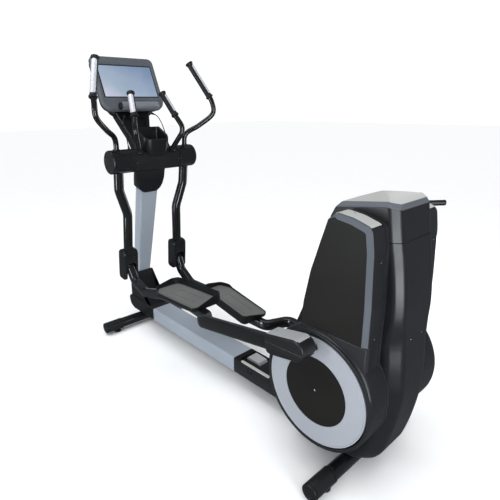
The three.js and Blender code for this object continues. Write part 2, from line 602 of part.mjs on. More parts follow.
function swingArm(side) {
  const span = (a, b) => [a * side.sign, b * side.sign].sort((p, q) => p - q);
  const long = HUB_END - HUB_SEAM - GAP;
  const barrel = turned([[0, 0], [HUB_R, 0], [HUB_R, long - 8], [HUB_R - 3, long - 2], [HUB_R - 9, long], [0, long]],
    vec(side.sign * (HUB_SEAM + GAP), 0, 0), vec(side.sign * HUB_END, 0, 0), 28);
  const lower = tube(bentRoute(onSide(side, LOWER_TUBE), 110), SWING_TUBE_R);
  const upper = tube(upperRoute(side), HANDLE_R);
  const bridge = box(...span(PIVOT_X - 32, PIVOT_X + 32), -20, 20, -598, -570);
  const cheeks = [-1, 1].map((hand) => {
    const x = [PIVOT_X + 25 * hand, PIVOT_X + 32 * hand].sort((p, q) => p - q);
    return slabX(roundedRect(-20, 20, -658, -575, 19.9, 19.9, 0.1, 0.1), ...span(...x), 3);
  });
  const pin = rodX(PIVOT_PIN_R, ...span(PIVOT_X - 30, PIVOT_X + 30), 0, -SWING_LENGTH, 16);
  const room = rodX(HUB_R - 6, ...span(HUB_SEAM - 5, HUB_END - 14), 0, 0, 28);
  const bearing = rodX(30, ...span(HUB_SEAM + GAP, HUB_END - 10), 0, 0, 24);
  const bore = rodX(SHAFT_R + GAP, ...span(HUB_SEAM - 5, HUB_END - 11), 0, 0, 24);
  return cut(join(cut(join(barrel, lower, upper, bridge, ...cheeks, pin), room), bearing), bore);
}

function pivotCover(side) {
  const span = (a, b) => [a * side.sign, b * side.sign].sort((p, q) => p - q);
  const x0 = PIVOT_X - 47;
  const x1 = PIVOT_X + 47;
  const shell = slabX(roundedRect(-40, 40, -732, -538, 26), ...span(x0, x1), 3);
  const room = slabX(roundedRect(-35, 35, -780, -543, 1, 1, 22, 22), ...span(x0 + 5, x1 - 5), 2);
  const rearSlot = box(...span(PIVOT_X - 30, PIVOT_X + 30), -60, 0, -790, -620);
  const tubeHole = tube(bentRoute(onSide(side, LOWER_TUBE), 110), SWING_TUBE_R + GAP);
  return cut(shell, room, rearSlot, tubeHole);
}

// ---------------------------------------------------------------- pedal arms, in a frame at the crank pin
const ARM_ROUTE = [[ARM_X, 34, 2], [ARM_X, 600, -58], [205, 676, -92], [170, 860, -99], [170, 1120, -99],
  [PIVOT_X, 1330, -146], [PIVOT_X, 1446, -98], [PIVOT_X, 1490, -24]];
const armRoute = (side) => bentRoute(onSide(side, ARM_ROUTE), 70);

function pedalArm(side) {
  const span = [(PIVOT_X - 24) * side.sign, (PIVOT_X + 24) * side.sign].sort((p, q) => p - q);
  const rail = tube(armRoute(side), ARM_R);
  const boss = rodX(19, ...span, ARM_LENGTH, 0, 24);
  const seat = box(...[132 * side.sign, 204 * side.sign].sort((p, q) => p - q), 830, 1040, -90, -74);
  const trimmed = cut(rail, rodX(24.5, -ACROSS, ACROSS, ARM_LENGTH, 0, 24));
  const neck = box(...span.map((x, i) => x + (i ? -6 : 6)), ARM_LENGTH - 34, ARM_LENGTH - 8, -26, 2);
  return cut(join(trimmed, boss, seat, neck), rodX(PIVOT_PIN_R + GAP, -ACROSS, ACROSS, ARM_LENGTH, 0, 20));
}

function trayOutline(side, inset) {
  const { x0, x1, s0, s1 } = TRAY;
  const x = (value) => value * side.sign;
  const shape = new THREE.Shape();
  const a = x0 + inset;
  const b = x1 - inset;
  const r = 34 - inset;
  shape.moveTo(x(a + r), s0 + inset);
  shape.lineTo(x(b - r), s0 + inset);
  shape.quadraticCurveTo(x(b), s0 + inset, x(b), s0 + inset + r);
  shape.lineTo(x(b), s1 - 96);
  shape.quadraticCurveTo(x(b), s1 - inset - 14, x(b - 62), s1 - inset);
  shape.lineTo(x(a + 52), s1 - inset);
  shape.quadraticCurveTo(x(a), s1 - inset, x(a), s1 - 62);
  shape.lineTo(x(a), s0 + inset + r);
  shape.quadraticCurveTo(x(a), s0 + inset, x(a + r), s0 + inset);
  return shape;
}

function pedalTray(side) {
  const { x0, x1, s0, s1, low, floor, wall, lip } = TRAY;
  const tray = slabZ(trayOutline(side, 0), low, wall, 4);
  const room = slabZ(trayOutline(side, 5), floor, wall + 5, 4);
  const above = [[x0 + 24, wall], [x0 + 70, wall - 8], [x1 - 40, lip], [x1 + 9, lip], [x1 + 9, 0], [x0 + 24, 0]];
  const slope = slabY(plan(above.map(([x, z]) => [x * side.sign, z])), s0 - 9, s1 + 9);
  return cut(tray, room, slope, tube(armRoute(side), ARM_R + GAP));
}

function pedalMat(side) {
  return slabZ(trayOutline(side, 6.5), TRAY.floor + GAP, TRAY.floor + GAP + MAT_THICK, 4);
}

function crankCover(side) {
  const span = [(ARM_X - 38) * side.sign, (ARM_X + 38) * side.sign].sort((p, q) => p - q);
  const outline = new THREE.Shape();
  outline.absarc(16, 18, 42, Math.PI * 0.45, Math.PI * 1.5);
  outline.lineTo(146, -34);
  outline.quadraticCurveTo(158, -34, 158, -24);
  outline.lineTo(158, 30);
  outline.quadraticCurveTo(158, 40, 148, 42);
  const shell = slabX(outline, ...span, 5);
  return cut(shell, tube(lengthened(armRoute(side), GAP), ARM_R + GAP));
}

for (const side of SIDES) {
  const { pin, pivot, tilt, swing } = lowerPivot(side);
  const swingGroup = new THREE.Group();
  swingGroup.position.set(0, HUB_Y, HUB_Z);
  swingGroup.rotation.x = swing;
  machine.add(swingGroup);
  place(`swing_arm_${side.name}`, swingArm(side), blackPaint, swingGroup);
  place(`pivot_cover_${side.name}`, pivotCover(side), blackPlastic, swingGroup);
  const grip = gripPair(side, GRIP_START, GRIP_TOP, upperRoute(side));
  place(`swing_grip_${side.name}`, grip.body, rubber, swingGroup);
  place(`swing_plate_${side.name}`, grip.plate, steel, swingGroup);

  const pedalGroup = new THREE.Group();
  pedalGroup.position.set(0, pin.y, pin.z);
  pedalGroup.rotation.x = tilt;
  machine.add(pedalGroup);
  place(`pedal_arm_${side.name}`, pedalArm(side), blackPaint, pedalGroup);
  place(`pedal_tray_${side.name}`, pedalTray(side), blackPlastic, pedalGroup);
  place(`pedal_mat_${side.name}`, pedalMat(side), matGrey, pedalGroup);
  place(`crank_cover_${side.name}`, crankCover(side), blackPlastic, pedalGroup);
}

export default machine;
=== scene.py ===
"""Looks of the elliptical trainer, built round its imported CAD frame.

Shapes are worked out in millimetres and turned to metres when a mesh is made.
+X is the user's right, +Y points to the console, +Z is up.
"""

import json
import math

import bmesh
import bpy
from mathutils import Matrix, Vector


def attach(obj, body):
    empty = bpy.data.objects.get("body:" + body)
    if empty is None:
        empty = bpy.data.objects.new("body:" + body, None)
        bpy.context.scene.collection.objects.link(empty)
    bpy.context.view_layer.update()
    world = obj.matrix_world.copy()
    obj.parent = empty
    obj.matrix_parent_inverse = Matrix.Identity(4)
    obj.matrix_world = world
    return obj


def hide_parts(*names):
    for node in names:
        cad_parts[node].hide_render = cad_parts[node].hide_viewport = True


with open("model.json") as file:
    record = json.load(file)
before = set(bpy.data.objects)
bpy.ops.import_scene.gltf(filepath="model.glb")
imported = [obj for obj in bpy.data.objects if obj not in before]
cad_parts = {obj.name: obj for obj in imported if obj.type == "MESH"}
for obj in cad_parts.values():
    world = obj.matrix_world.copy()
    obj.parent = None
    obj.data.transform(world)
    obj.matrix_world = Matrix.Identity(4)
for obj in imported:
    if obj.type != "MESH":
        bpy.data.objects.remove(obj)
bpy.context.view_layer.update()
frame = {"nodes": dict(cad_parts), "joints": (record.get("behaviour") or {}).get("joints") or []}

# ---- places from the frame
MM = 0.001
JOINT = {joint["name"]: Vector(joint["pos_m"]) / MM for joint in frame["joints"]}
HUB = JOINT["left_swing"]
CRANK = JOINT["crank_spin"]
THROW = 185
SIDES = [("left", -1, 1), ("right", 1, -1)]    # name, sign of x, which way its crank points


def stand(origin, lean=0.0):
    """A local frame at a point in millimetres, turned about X by some degrees."""
    return Matrix.Translation(Vector(origin) * MM) @ Matrix.Rotation(math.radians(lean), 4, "X")


ROOT = stand((0, 0, 0))
MAST = stand((0, 874, 369), 14.5)
NECK = stand((0, 750, 1150), -28)
SCREEN = stand((0, 877, 1545), -23.4)
AT_HUB = stand(HUB)
SWING, PEDAL = {}, {}
for name, sign, up in SIDES:
    pivot = JOINT[f"{name}_pedal"]
    pin = CRANK + Vector((0, 0, up * THROW))
    SWING[name] = stand(HUB, math.degrees(math.atan2(pivot.y - HUB.y, HUB.z - pivot.z)))
    PEDAL[name] = stand(pin, math.degrees(math.atan2(pivot.z - pin.z, pivot.y - pin.y)))

HUB_R = 65
HUB_SEAM = 157
HUB_END = 272
HANDLE_R = 14.5
GRIP_R = 18
SWING_TUBE_R = 27
PIVOT_X = 170
SWING_LENGTH = 638
ARM_LENGTH = 1506
ARM_X = 301
ARM_R = 24
RIM_R = 236
DISC_R = 218
DISC_CORE_R = 138
DISC_IN = 220
DISC_OUT = 236
TOWER_HALF = 122
SEAM_Z = 978
BASE_HALF = 67
BAR_R = 31
CAP_R = 34


def placed(name, data):
    """A scene object that holds some data."""
    thing = bpy.data.objects.new(name, data)
    bpy.context.scene.collection.objects.link(thing)
    return thing


# ---- camera
camera = placed("camera", bpy.data.cameras.new("camera"))
bpy.context.scene.camera = camera
camera.data.lens = 31.48
camera.data.sensor_width = 36
camera.data.shift_x = 0.014
camera.data.shift_y = -0.0117
CAMERA_YAW, CAMERA_PITCH, CAMERA_ROLL = 42.23, 17.56, -0.708
CAMERA_PLACE = (-1.351, -1.5923, 1.400)
camera.matrix_world = (
    Matrix.Translation(CAMERA_PLACE)
    @ Matrix.Rotation(math.radians(-CAMERA_YAW), 4, "Z")
    @ Matrix.Rotation(math.radians(90 - CAMERA_PITCH), 4, "X")
    @ Matrix.Rotation(math.radians(CAMERA_ROLL), 4, "Z"))


# ---- materials
SLOW_LOW, SLOW_HIGH = 0.3, 0.7    # the part of the slow noise that the drift uses
BUMP_DEPTH = 0.0006


def node(tree, kind, inputs=None, **settings):
    """A shader node; each input is given a constant or a socket to link."""
    made = tree.nodes.new(kind)
    for key, value in settings.items():
        setattr(made, key, value)
    for key, value in (inputs or {}).items():
        if isinstance(value, bpy.types.NodeSocket):
            tree.links.new(value, made.inputs[key])
        else:
            made.inputs[key].default_value = value
    return made


def blend(tree, share, first, second):
    """A colour between two, each a constant or a socket."""
    return node(tree, "ShaderNodeMix", {0: share, 6: first, 7: second}, data_type="RGBA").outputs[2]


def shaded(name, base, rough, *, metal=0.0, vary=0.14, drift=5.0, rough_vary=0.08, grain=0.12,
           grain_size=1.2, stretch=(1, 1, 1), coat=0.0, coat_rough=0.1, specular=0.5, edge=0.0,
           pits="noise"):
    """A procedural finish: slow colour drift, uneven gloss, fine grain and paler rubbed edges."""
    material = bpy.data.materials.new(name)
    material.use_nodes = True
    tree = material.node_tree
    shader = tree.nodes["Principled BSDF"]
    shader.inputs["Metallic"].default_value = metal
    shader.inputs["Coat Weight"].default_value = coat
    shader.inputs["Coat Roughness"].default_value = coat_rough
    shader.inputs["Specular IOR Level"].default_value = specular
    where = node(tree, "ShaderNodeTexCoord").outputs["Object"]
    stretched = node(tree, "ShaderNodeMapping", {"Vector": where, "Scale": stretch}).outputs["Vector"]
    slow = node(tree, "ShaderNodeTexNoise", {"Vector": where, "Scale": drift, "Detail": 3.0})
    grains = {"Vector": stretched, "Scale": 1000 / (grain_size * 2)}
    fine = node(tree, "ShaderNodeTexNoise", {**grains, "Detail": 2.0})
    ramp = node(tree, "ShaderNodeValToRGB", {"Fac": slow.outputs["Fac"]})
    ramp.color_ramp.elements[0].position = SLOW_LOW
    ramp.color_ramp.elements[1].position = SLOW_HIGH
    ramp.color_ramp.elements[0].color = [c * (1 - vary) for c in base] + [1]
    ramp.color_ramp.elements[1].color = [min(1, c * (1 + vary)) for c in base] + [1]
    colour = ramp.outputs["Color"]
    if edge:
        worn = node(tree, "ShaderNodeNewGeometry").outputs["Pointiness"]
        rub = node(tree, "ShaderNodeMapRange",
                   {"Value": worn, "From Min": 0.52, "From Max": 0.62, "To Min": 0.0, "To Max": edge})
        paler = [min(1, c * 2.2 + 0.04) for c in base] + [1]
        colour = blend(tree, rub.outputs["Result"], colour, paler)
    tree.links.new(colour, shader.inputs["Base Color"])
    gloss = node(tree, "ShaderNodeMapRange",
                 {"Value": slow.outputs["Fac"], "From Min": SLOW_LOW, "From Max": SLOW_HIGH,
                  "To Min": max(0.02, rough - rough_vary), "To Max": min(1, rough + rough_vary)})
    tree.links.new(gloss.outputs["Result"], shader.inputs["Roughness"])
    height = fine.outputs["Fac"]
    if pits == "leather":
        height = node(tree, "ShaderNodeTexVoronoi", grains, feature="SMOOTH_F1").outputs["Distance"]
    bump = node(tree, "ShaderNodeBump", {"Height": height, "Strength": grain, "Distance": BUMP_DEPTH})
    tree.links.new(bump.outputs["Normal"], shader.inputs["Normal"])
    return material


FINISHES = {    # base colour, roughness and the rest
    "black_paint": ((0.0055, 0.0058, 0.0068), 0.2, dict(
        coat=0.6, coat_rough=0.05, grain=0.006, grain_size=1.6, rough_vary=0.03)),
    "black_plastic": ((0.0068, 0.007, 0.0078), 0.34, dict(
        grain=0.08, grain_size=0.8, edge=0.25, specular=0.45)),
    "charcoal_plastic": ((0.0100, 0.0105, 0.0122), 0.36, dict(grain=0.1, grain_size=0.9, edge=0.2)),
    "panel_plastic": ((0.0088, 0.0082, 0.0068), 0.5, dict(
        grain=0.3, grain_size=1.3, pits="leather", specular=0.28)),
    # pale grey; on the hood's top and on the pod tops it is painted light
    "grey_plastic": ((0.4, 0.4, 0.385), 0.52, dict(vary=0.05, grain=0.1, grain_size=0.9)),
    # bluish band tone; on the hood's bevel it is painted sheen
    "band_plastic": ((0.085, 0.093, 0.108), 0.4, dict(vary=0.08, grain_size=0.9)),
    "silver_paint": ((0.34, 0.385, 0.44), 0.36, dict(
        metal=0.1, vary=0.04, grain=0.04, grain_size=0.7, coat=0.25)),
    "ring_silver": ((0.33, 0.345, 0.38), 0.45, dict(metal=0.1, vary=0.04, grain=0.08, grain_size=0.8)),
    "bezel_plastic": ((0.085, 0.092, 0.105), 0.38, dict(vary=0.08, grain=0.1, grain_size=0.8, edge=0.2)),
    "contact_steel": ((0.74, 0.74, 0.79), 0.25, dict(
        metal=0.45, vary=0.06, grain=0.06, grain_size=0.5, stretch=(1, 1, 0.06))),
    "machined_steel": ((0.42, 0.43, 0.45), 0.32, dict(
        metal=1.0, vary=0.1, grain_size=0.6, stretch=(0.1, 1, 1))),
    "grip_rubber": ((0.009, 0.009, 0.0098), 0.42, dict(
        specular=0.45, grain=0.15, grain_size=1.1, pits="leather")),
    # a lighter copy of the bezel plastic: painted light on the reading ledge
    "ledge_plastic": ((0.16, 0.17, 0.19), 0.36, dict(vary=0.06, grain=0.1, grain_size=0.8)),
    "foot_rubber": ((0.017, 0.017, 0.017), 0.65, dict(grain=0.3)),
    "mat_rubber": ((0.115, 0.117, 0.115), 0.6, dict(
        specular=0.3, vary=0.1, grain=0.4, grain_size=2.2, pits="leather")),
    "cable_rubber": ((0.01, 0.01, 0.01), 0.45, dict(grain=0.1, grain_size=0.7)),
    # pale grey painted light for the tops of black plastic parts
    "cover_top": ((0.3, 0.305, 0.31), 0.4, dict(vary=0.06, grain_size=0.9)),
}
LOOK = {name: shaded(name, base, rough, **rest) for name, (base, rough, rest) in FINISHES.items()}
SLOT = {look: look for look in LOOK}
SLOT["band_plastic"] = "grey_plastic"
SLOT["cover_top"] = "black_plastic"
SLOT["ledge_plastic"] = "bezel_plastic"


# ---- outlines and routes
def filleted(points, closed=True, steps=6):
    """Corners given as (a, b) or (a, b, radius), the latter rounded off."""
    out = []
    for i, corner in enumerate(points):
        here = Vector(corner[:2])
        at_end = not closed and i in (0, len(points) - 1)
        if len(corner) < 3 or at_end:
            out.append(tuple(here))
            continue
        back = Vector(points[i - 1][:2]) - here
        ahead = Vector(points[(i + 1) % len(points)][:2]) - here
        reach = corner[2] / math.tan(max(back.angle(ahead) / 2, 0.05))
        first = here + back.normalized() * min(reach, back.length * 0.49)
        last = here + ahead.normalized() * min(reach, ahead.length * 0.49)
        for k in range(steps + 1):
            t = k / steps
            out.append(tuple(first * (1 - t) ** 2 + here * 2 * t * (1 - t) + last * t ** 2))
    return out


def rounded(x0, x1, y0, y1, *radii, steps=6):
    """Rectangle with corner radii in the order low-left, low-right, high-right, high-left."""
    radii = radii * 4 if len(radii) == 1 else radii
    centres = [(x0, y0, 1, 1), (x1, y0, -1, 1), (x1, y1, -1, -1), (x0, y1, 1, -1)]
    out = []
    for i, (x, y, sx, sy) in enumerate(centres):
        r = max(radii[i], 0.01)
        for k in range(steps + 1):
            a = math.radians(180 + 90 * i + 90 * k / steps)
            out.append((x + sx * r + r * math.cos(a), y + sy * r + r * math.sin(a)))
    return out


def shrunk(outline, inset):
    """An outline moved inwards by a distance, or by one for each point."""
    n = len(outline)
    area = sum(a[0] * b[1] - a[1] * b[0] for a, b in zip(outline, outline[1:] + outline[:1]))
    hand = 1 if area > 0 else -1
    out = []
    for i, point in enumerate(outline):
        here = Vector(point)
        step_in = here - Vector(outline[i - 1])
        step_out = Vector(outline[(i + 1) % n]) - here
        normals = [Vector((-s.y, s.x)).normalized() for s in (step_in, step_out) if s.length > 1e-6]
        if not normals:
            out.append(point)
            continue
        mean = sum(normals, Vector((0, 0))).normalized()
        spread = max(0.5, mean.dot(normals[0]))
        depth = inset[i] if isinstance(inset, (list, tuple)) else inset
        out.append(tuple(here + mean * hand * depth / spread))
    return out


def smooth_curve(points, count):
    """Centripetal Catmull-Rom curve through the points."""
    points = [Vector(p) for p in points]
    ends = [points[0] * 2 - points[1], *points, points[-1] * 2 - points[-2]]
    out = []
    for k in range(count + 1):
        place = k / count * (len(points) - 1)
        i = min(int(place), len(points) - 2)
        t = place - i
        p0, p1, p2, p3 = ends[i:i + 4]
        d0, d1, d2 = [math.sqrt((b - a).length) or 1 for a, b in ((p0, p1), (p1, p2), (p2, p3))]
        m1 = ((p1 - p0) / d0 - (p2 - p0) / (d0 + d1) + (p2 - p1) / d1) * d1
        m2 = ((p2 - p1) / d1 - (p3 - p1) / (d1 + d2) + (p3 - p2) / d2) * d1
        out.append(p1 + m1 * t + (-3 * p1 + 3 * p2 - 2 * m1 - m2) * t * t
                   + (2 * p1 - 2 * p2 + m1 + m2) * t ** 3)
    return out


def bent(corners, bend, steps=10):
    """Straight runs with each corner rounded, as a tube bender leaves them."""
    corners = [Vector(c) for c in corners]
    out = [corners[0]]
    for last, here, following in zip(corners, corners[1:], corners[2:]):
        back, ahead = last - here, following - here
        half = (math.pi - back.angle(ahead)) / 2
        reach = min(bend * math.tan(half), back.length * 0.48, ahead.length * 0.48)
        first, final = here + back.normalized() * reach, here + ahead.normalized() * reach
        for k in range(steps + 1):
            t = k / steps
            out.append(first * (1 - t) ** 2 + here * 2 * t * (1 - t) + final * t * t)
    out.append(corners[-1])
    return out


# ---- solids
def skin(loops, closed=False, caps=True, finishes=None):
    """A surface through loops of equal counts; finishes may give each band and the last cap its own."""
    bm = bmesh.new()
    rings = [[bm.verts.new(Vector(p) * MM) for p in loop] for loop in loops]
    count = len(rings[0])
    pairs = list(zip(rings, rings[1:])) + ([(rings[-1], rings[0])] if closed else [])
    for band, (a, b) in enumerate(pairs):
        for i in range(count):
            j = (i + 1) % count
            bm.faces.new((a[i], a[j], b[j], b[i])).material_index = finishes[band] if finishes else 0
    if caps and not closed:
        bm.faces.new(rings[0])
        bm.faces.new(rings[-1]).material_index = finishes[-1] if finishes else 0
    return bm


def prism(outline, a, b, axis="x", edge=0.0, steps=4):
    """A slab of an outline between two planes across an axis, with rounded rims."""
    def lift(points, c):
        order = {"x": lambda u, v: (c, u, v), "y": lambda u, v: (u, c, v), "z": lambda u, v: (u, v, c)}[axis]
        return [order(u, v) for u, v in points]
    if not edge:
        return skin([lift(outline, a), lift(outline, b)])
    turn = 1 if b > a else -1
    levels = []
    for k in range(steps + 1):
        angle = math.pi / 2 * k / steps
        levels.append((edge * (1 - math.sin(angle)), edge * (1 - math.cos(angle))))
    loops = [lift(shrunk(outline, inset), a + turn * depth) for inset, depth in levels]
    loops += [lift(shrunk(outline, inset), b - turn * depth) for inset, depth in reversed(levels)]
    return skin(loops)


def tube(path, radius, sides=28, power=2.0, tall=1.0):
    """A bar along a path; a power above 2 squares its section, which can also be made taller than wide."""
    path = [Vector(p) for p in path]
    side = Vector((1, 0.001, 0.001))
    spokes = [2 * math.pi * (k + 0.5) / sides for k in range(sides)]
    reach = [radius / (abs(math.cos(a)) ** power + abs(math.sin(a)) ** power) ** (1 / power) for a in spokes]
    loops = []
    for i, here in enumerate(path):
        before, after = path[max(i - 1, 0)], path[min(i + 1, len(path) - 1)]
        along = (after - before).normalized()
        side = (side - along * side.dot(along)).normalized()
        other = along.cross(side)
        loops.append([here + side * r * math.cos(a) + other * r * tall * math.sin(a)
                      for a, r in zip(spokes, reach)])
    return skin(loops)


def turned(profile, start, towards, sides=64, closed=False):
    """A turned piece about the line from a point towards another; the profile is (radius, height)."""
    start = Vector(start)
    axis = (Vector(towards) - start).normalized()
    side = axis.orthogonal().normalized()
    other = axis.cross(side)
    loops = [[start + axis * h + (side * math.cos(2 * math.pi * k / sides)
                                  + other * math.sin(2 * math.pi * k / sides)) * max(r, 0.001)
              for k in range(sides)] for r, h in profile]
    return skin(loops, closed=closed, caps=not closed)


def merged(*parts):
    """Several shells as one mesh."""
    bm = bmesh.new()
    for part in parts:
        mesh = bpy.data.meshes.new("part")
        part.to_mesh(mesh)
        part.free()
        bm.from_mesh(mesh)
        bpy.data.meshes.remove(mesh)
    return bm


def carved(body, *tools):
    """The body with the tools cut out of it."""
    def loose(bm, label):
        bmesh.ops.remove_doubles(bm, verts=bm.verts, dist=1e-6)
        bmesh.ops.recalc_face_normals(bm, faces=bm.faces)
        mesh = bpy.data.meshes.new(label)
        bm.to_mesh(mesh)
        bm.free()
        return placed(label, mesh)
    whole = loose(body, "whole")
    cutters = [loose(tool, "cutter") for tool in tools]
    for cutter in cutters:
        cut = whole.modifiers.new("cut", "BOOLEAN")
        cut.object = cutter
        cut.operation = "DIFFERENCE"
        cut.solver = "EXACT"
    mesh = bpy.data.meshes.new_from_object(whole.evaluated_get(bpy.context.evaluated_depsgraph_get()))
    bm = bmesh.new()
    bm.from_mesh(mesh)
    for thing in (whole, *cutters):
        bpy.data.meshes.remove(thing.data)
    bpy.data.meshes.remove(mesh)
    return bm


def piece(name, bm, look, body="frame", at=ROOT, stands_for=(), sign=1, sharp=32, paint=None, local=False):
    """A finished piece: its mesh, its finish, the body it rides on and the CAD nodes it stands for."""
    if sign < 0:
        bmesh.ops.scale(bm, verts=bm.verts, vec=(-1, 1, 1))
    if not local:
        bmesh.ops.transform(bm, matrix=at, verts=bm.verts)
    bmesh.ops.remove_doubles(bm, verts=bm.verts, dist=2e-6)
    bmesh.ops.recalc_face_normals(bm, faces=bm.faces)
    mesh = bpy.data.meshes.new(name)
    bm.to_mesh(mesh)
    bm.free()
    looks = [look] if isinstance(look, str) else look
    for each in looks:
        mesh.materials.append(LOOK[each])
    if paint:
        for face in mesh.polygons:
            face.material_index = paint(face.normal)
    mesh.polygons.foreach_set("use_smooth", [len(face.vertices) < 5 for face in mesh.polygons])
    thing = placed(name, mesh)
    if local:
        thing.matrix_world = at
    mesh.set_sharp_from_angle(angle=math.radians(sharp))
    thing.modifiers.new("flat faces stay flat", "WEIGHTED_NORMAL").keep_sharp = True
    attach(thing, body)
    if stands_for:
        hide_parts(*([stands_for] if isinstance(stands_for, str) else stands_for))
    return thing


def screw(name, centre, facing, radius=4.0, look="contact_steel", body="frame", at=ROOT):
    """A domed screw head with a cross slot, seated in a surface."""
    centre, facing = Vector(centre), Vector(facing).normalized()
    head = turned([(0, -2), (radius, -2), (radius, 0.5), (radius * 0.8, 1.3), (radius * 0.4, 1.7), (0, 1.8)],
                  centre, centre + facing, sides=20)
    side = facing.orthogonal().normalized()
    across = facing.cross(side)
    slots = []
    for long, short in ((side, across), (across, side)):
        corners = [centre + long * a * radius * 0.6 + short * b * radius * 0.12 for a, b in
                   ((-1, -1), (1, -1), (1, 1), (-1, 1))]
        slots.append(skin([[c + facing * 0.8 for c in corners], [c + facing * 3 for c in corners]]))
    piece(name, carved(head, *slots), look, body, at)


# ---- sensor cables, held at both ends
CABLE_R = 2.6
CABLES = {
    "left": [(-84, 812, 1352), (-112, 776, 1320), (-124, 740, 1270), (-130, 712, 1215), (-132, 698, 1176)],
    "right": [(112, 826, 1362), (126, 800, 1350), (134, 772, 1318), (137, 744, 1268), (136, 716, 1212),
              (134, 700, 1176)],
}
for name, points in CABLES.items():
    path = smooth_curve(points, 36)
    cable = piece(f"sensor_cable_{name}_look", tube(path, CABLE_R, sides=14), "cable_rubber",
                  stands_for=f"sensor_cable_{name}")
    for end, (here, inside) in {"top": (path[0], path[2]), "bottom": (path[-1], path[-3])}.items():
        piece(f"cable_boot_{name}_{end}", turned(
            filleted([(0, -6), (6.5, -6), (6.5, 2, 2), (4.2, 12, 2), (3.2, 20), (0, 20)], closed=False),
            here, inside, sides=20), "cable_rubber")

# ---- floor bars, end caps and feet
BAR_Z = 49
FOOT_STEM = 8
BARS = [("rear", -824, 345, 132, 246), ("front", 866, 320, 115, 238)]    # y, half length, cap length, foot x
NOTCHES, NOTCH_DEPTH = 12, 0.06


def levelling_foot(x, y):
    """A rubber foot with finger notches round its rim, on a threaded stem."""
    profile = filleted([(0, 0), (20, 0, 1), (22, 3, 1), (22, 9, 2), (12, 12.5, 2), (FOOT_STEM, 14),
                        (FOOT_STEM, 54), (0, 54)], closed=False, steps=3)
    foot = turned(profile, (x, y, 0), (x, y, 1), sides=72)
    for vert in foot.verts:
        out = Vector((vert.co.x - x * MM, vert.co.y - y * MM))
        if out.length > 15 * MM:
            notch = 0.5 + 0.5 * math.cos(NOTCHES * math.atan2(out.y, out.x))
            vert.co.x -= out.x * NOTCH_DEPTH * notch
            vert.co.y -= out.y * NOTCH_DEPTH * notch
    return foot


for name, y, half, cap, foot_x in BARS:
    reach = half - cap + 4
    bar = tube([(-reach, y, BAR_Z), (0, y, BAR_Z), (reach, y, BAR_Z)], BAR_R, 48)
    piece(f"{name}_bar", bar, "black_paint", stands_for=f"{name}_stabilizer")
    profile = filleted([
        (BAR_R - 2, 1), (CAP_R - 1.5, 0, 1.5), (CAP_R, 3, 1), (CAP_R, 15), (CAP_R - 1.3, 15.6),
        (CAP_R - 1.3, 17.4), (CAP_R, 18), (CAP_R, cap - 12), (CAP_R - 1.2, cap - 11.4),
        (CAP_R - 1.2, cap - 9.6), (CAP_R, cap - 9), (CAP_R, cap, 5), (CAP_R - 9, cap, 1.5),
        (CAP_R - 11, cap - 2.5, 1.5), (0, cap - 1.5)], closed=False, steps=5)
    for side, sign, _ in SIDES:
        end_cap = turned(profile, (half - cap, y, BAR_Z), (half, y, BAR_Z))
        piece(f"{name}_end_cap_{side}", end_cap, "black_plastic", stands_for=f"{name}_cap_{side}", sign=sign)
        piece(f"{name}_levelling_foot_{side}", levelling_foot(foot_x, y), "foot_rubber",
              body=f"{name}_{side}_foot", stands_for=f"{name}_foot_{side}", sign=sign)
    saddle = prism(rounded(y - 30, y + 30, BAR_Z + BAR_R - 12, 100, 3), -36, 36, "x", edge=2)
    piece(f"{name}_saddle", saddle, "black_paint")

# ---- beam covers
BASE_TOP = 164
BASE_LOW = 84
SILVER_REAR = -95
SILVER_FRONT = 688


def channel(half, low, top, wall, edge):
    """Section of an open-bottomed cover, with rounded shoulders."""
    return filleted([(half, low), (half, top, edge), (-half, top, edge), (-half, low), (-half + wall, low),
                     (-half + wall, top - wall, edge - wall), (half - wall, top - wall, edge - wall),
                     (half - wall, low)])


beam_section = channel(BASE_HALF, BASE_LOW + 2, BASE_TOP, 4, 12)
beam = prism(beam_section, SILVER_REAR, SILVER_FRONT, "y", edge=1.2, steps=2)
piece("beam_cover", beam, "silver_paint", stands_for="base_cover")


def rear_base():
    """Black moulding behind the silver cover, with a sunk well and a pad at its floor; the tread and the rail
    are pieces of their own.
    """
    section = channel(BASE_HALF, BASE_LOW, BASE_TOP, 5, 9)
    shell = prism(section, -506, SILVER_REAR - 0.3, "y", edge=1.5, steps=2)
    well = prism(rounded(-52, 58, -400, SILVER_REAR - 32, 10), 152, 190, "z")
    pad = prism(rounded(-56, 60, -410, SILVER_REAR - 26, 8), 148, 153, "z", edge=1)
    return merged(carved(shell, well), pad)


piece("rear_base_moulding", rear_base(), "black_plastic", stands_for="rear_base_cover")
tread_side = filleted([(-232, 152), (-224, 167, 7), (-150, 171, 7), (-138, 158, 6), (-138, 152)])
# The tread's pale grey is painted light on a black plastic part, standing in for the light on its top.
piece("rear_base_tread", prism(tread_side, -14, 46, "x", edge=3), "cover_top")
piece("rear_base_rail", prism(rounded(-65, -50, -345, -148, 4), 158, 167.5, "z", edge=2.5), "grey_plastic")
bolt_line = [(0, -2), (17.5, -2), (17.5, 3, 1.5), (13, 4.5, 1), (12, 3.2, 1), (0, 3.2)]
bolt = turned(filleted(bolt_line, closed=False), (BASE_HALF, -212, 137), (BASE_HALF + 9, -212, 137), sides=48)
piece("rear_base_bolt", bolt, "black_paint", sign=-1)


def curve2(a, pull, b, steps=14):
    """Points from a to b along a curve drawn towards a third point, without the first."""
    a, pull, b = Vector(a), Vector(pull), Vector(b)
    shares = [k / steps for k in range(1, steps + 1)]
    return [tuple(a * (1 - t) ** 2 + pull * 2 * t * (1 - t) + b * t * t) for t in shares]


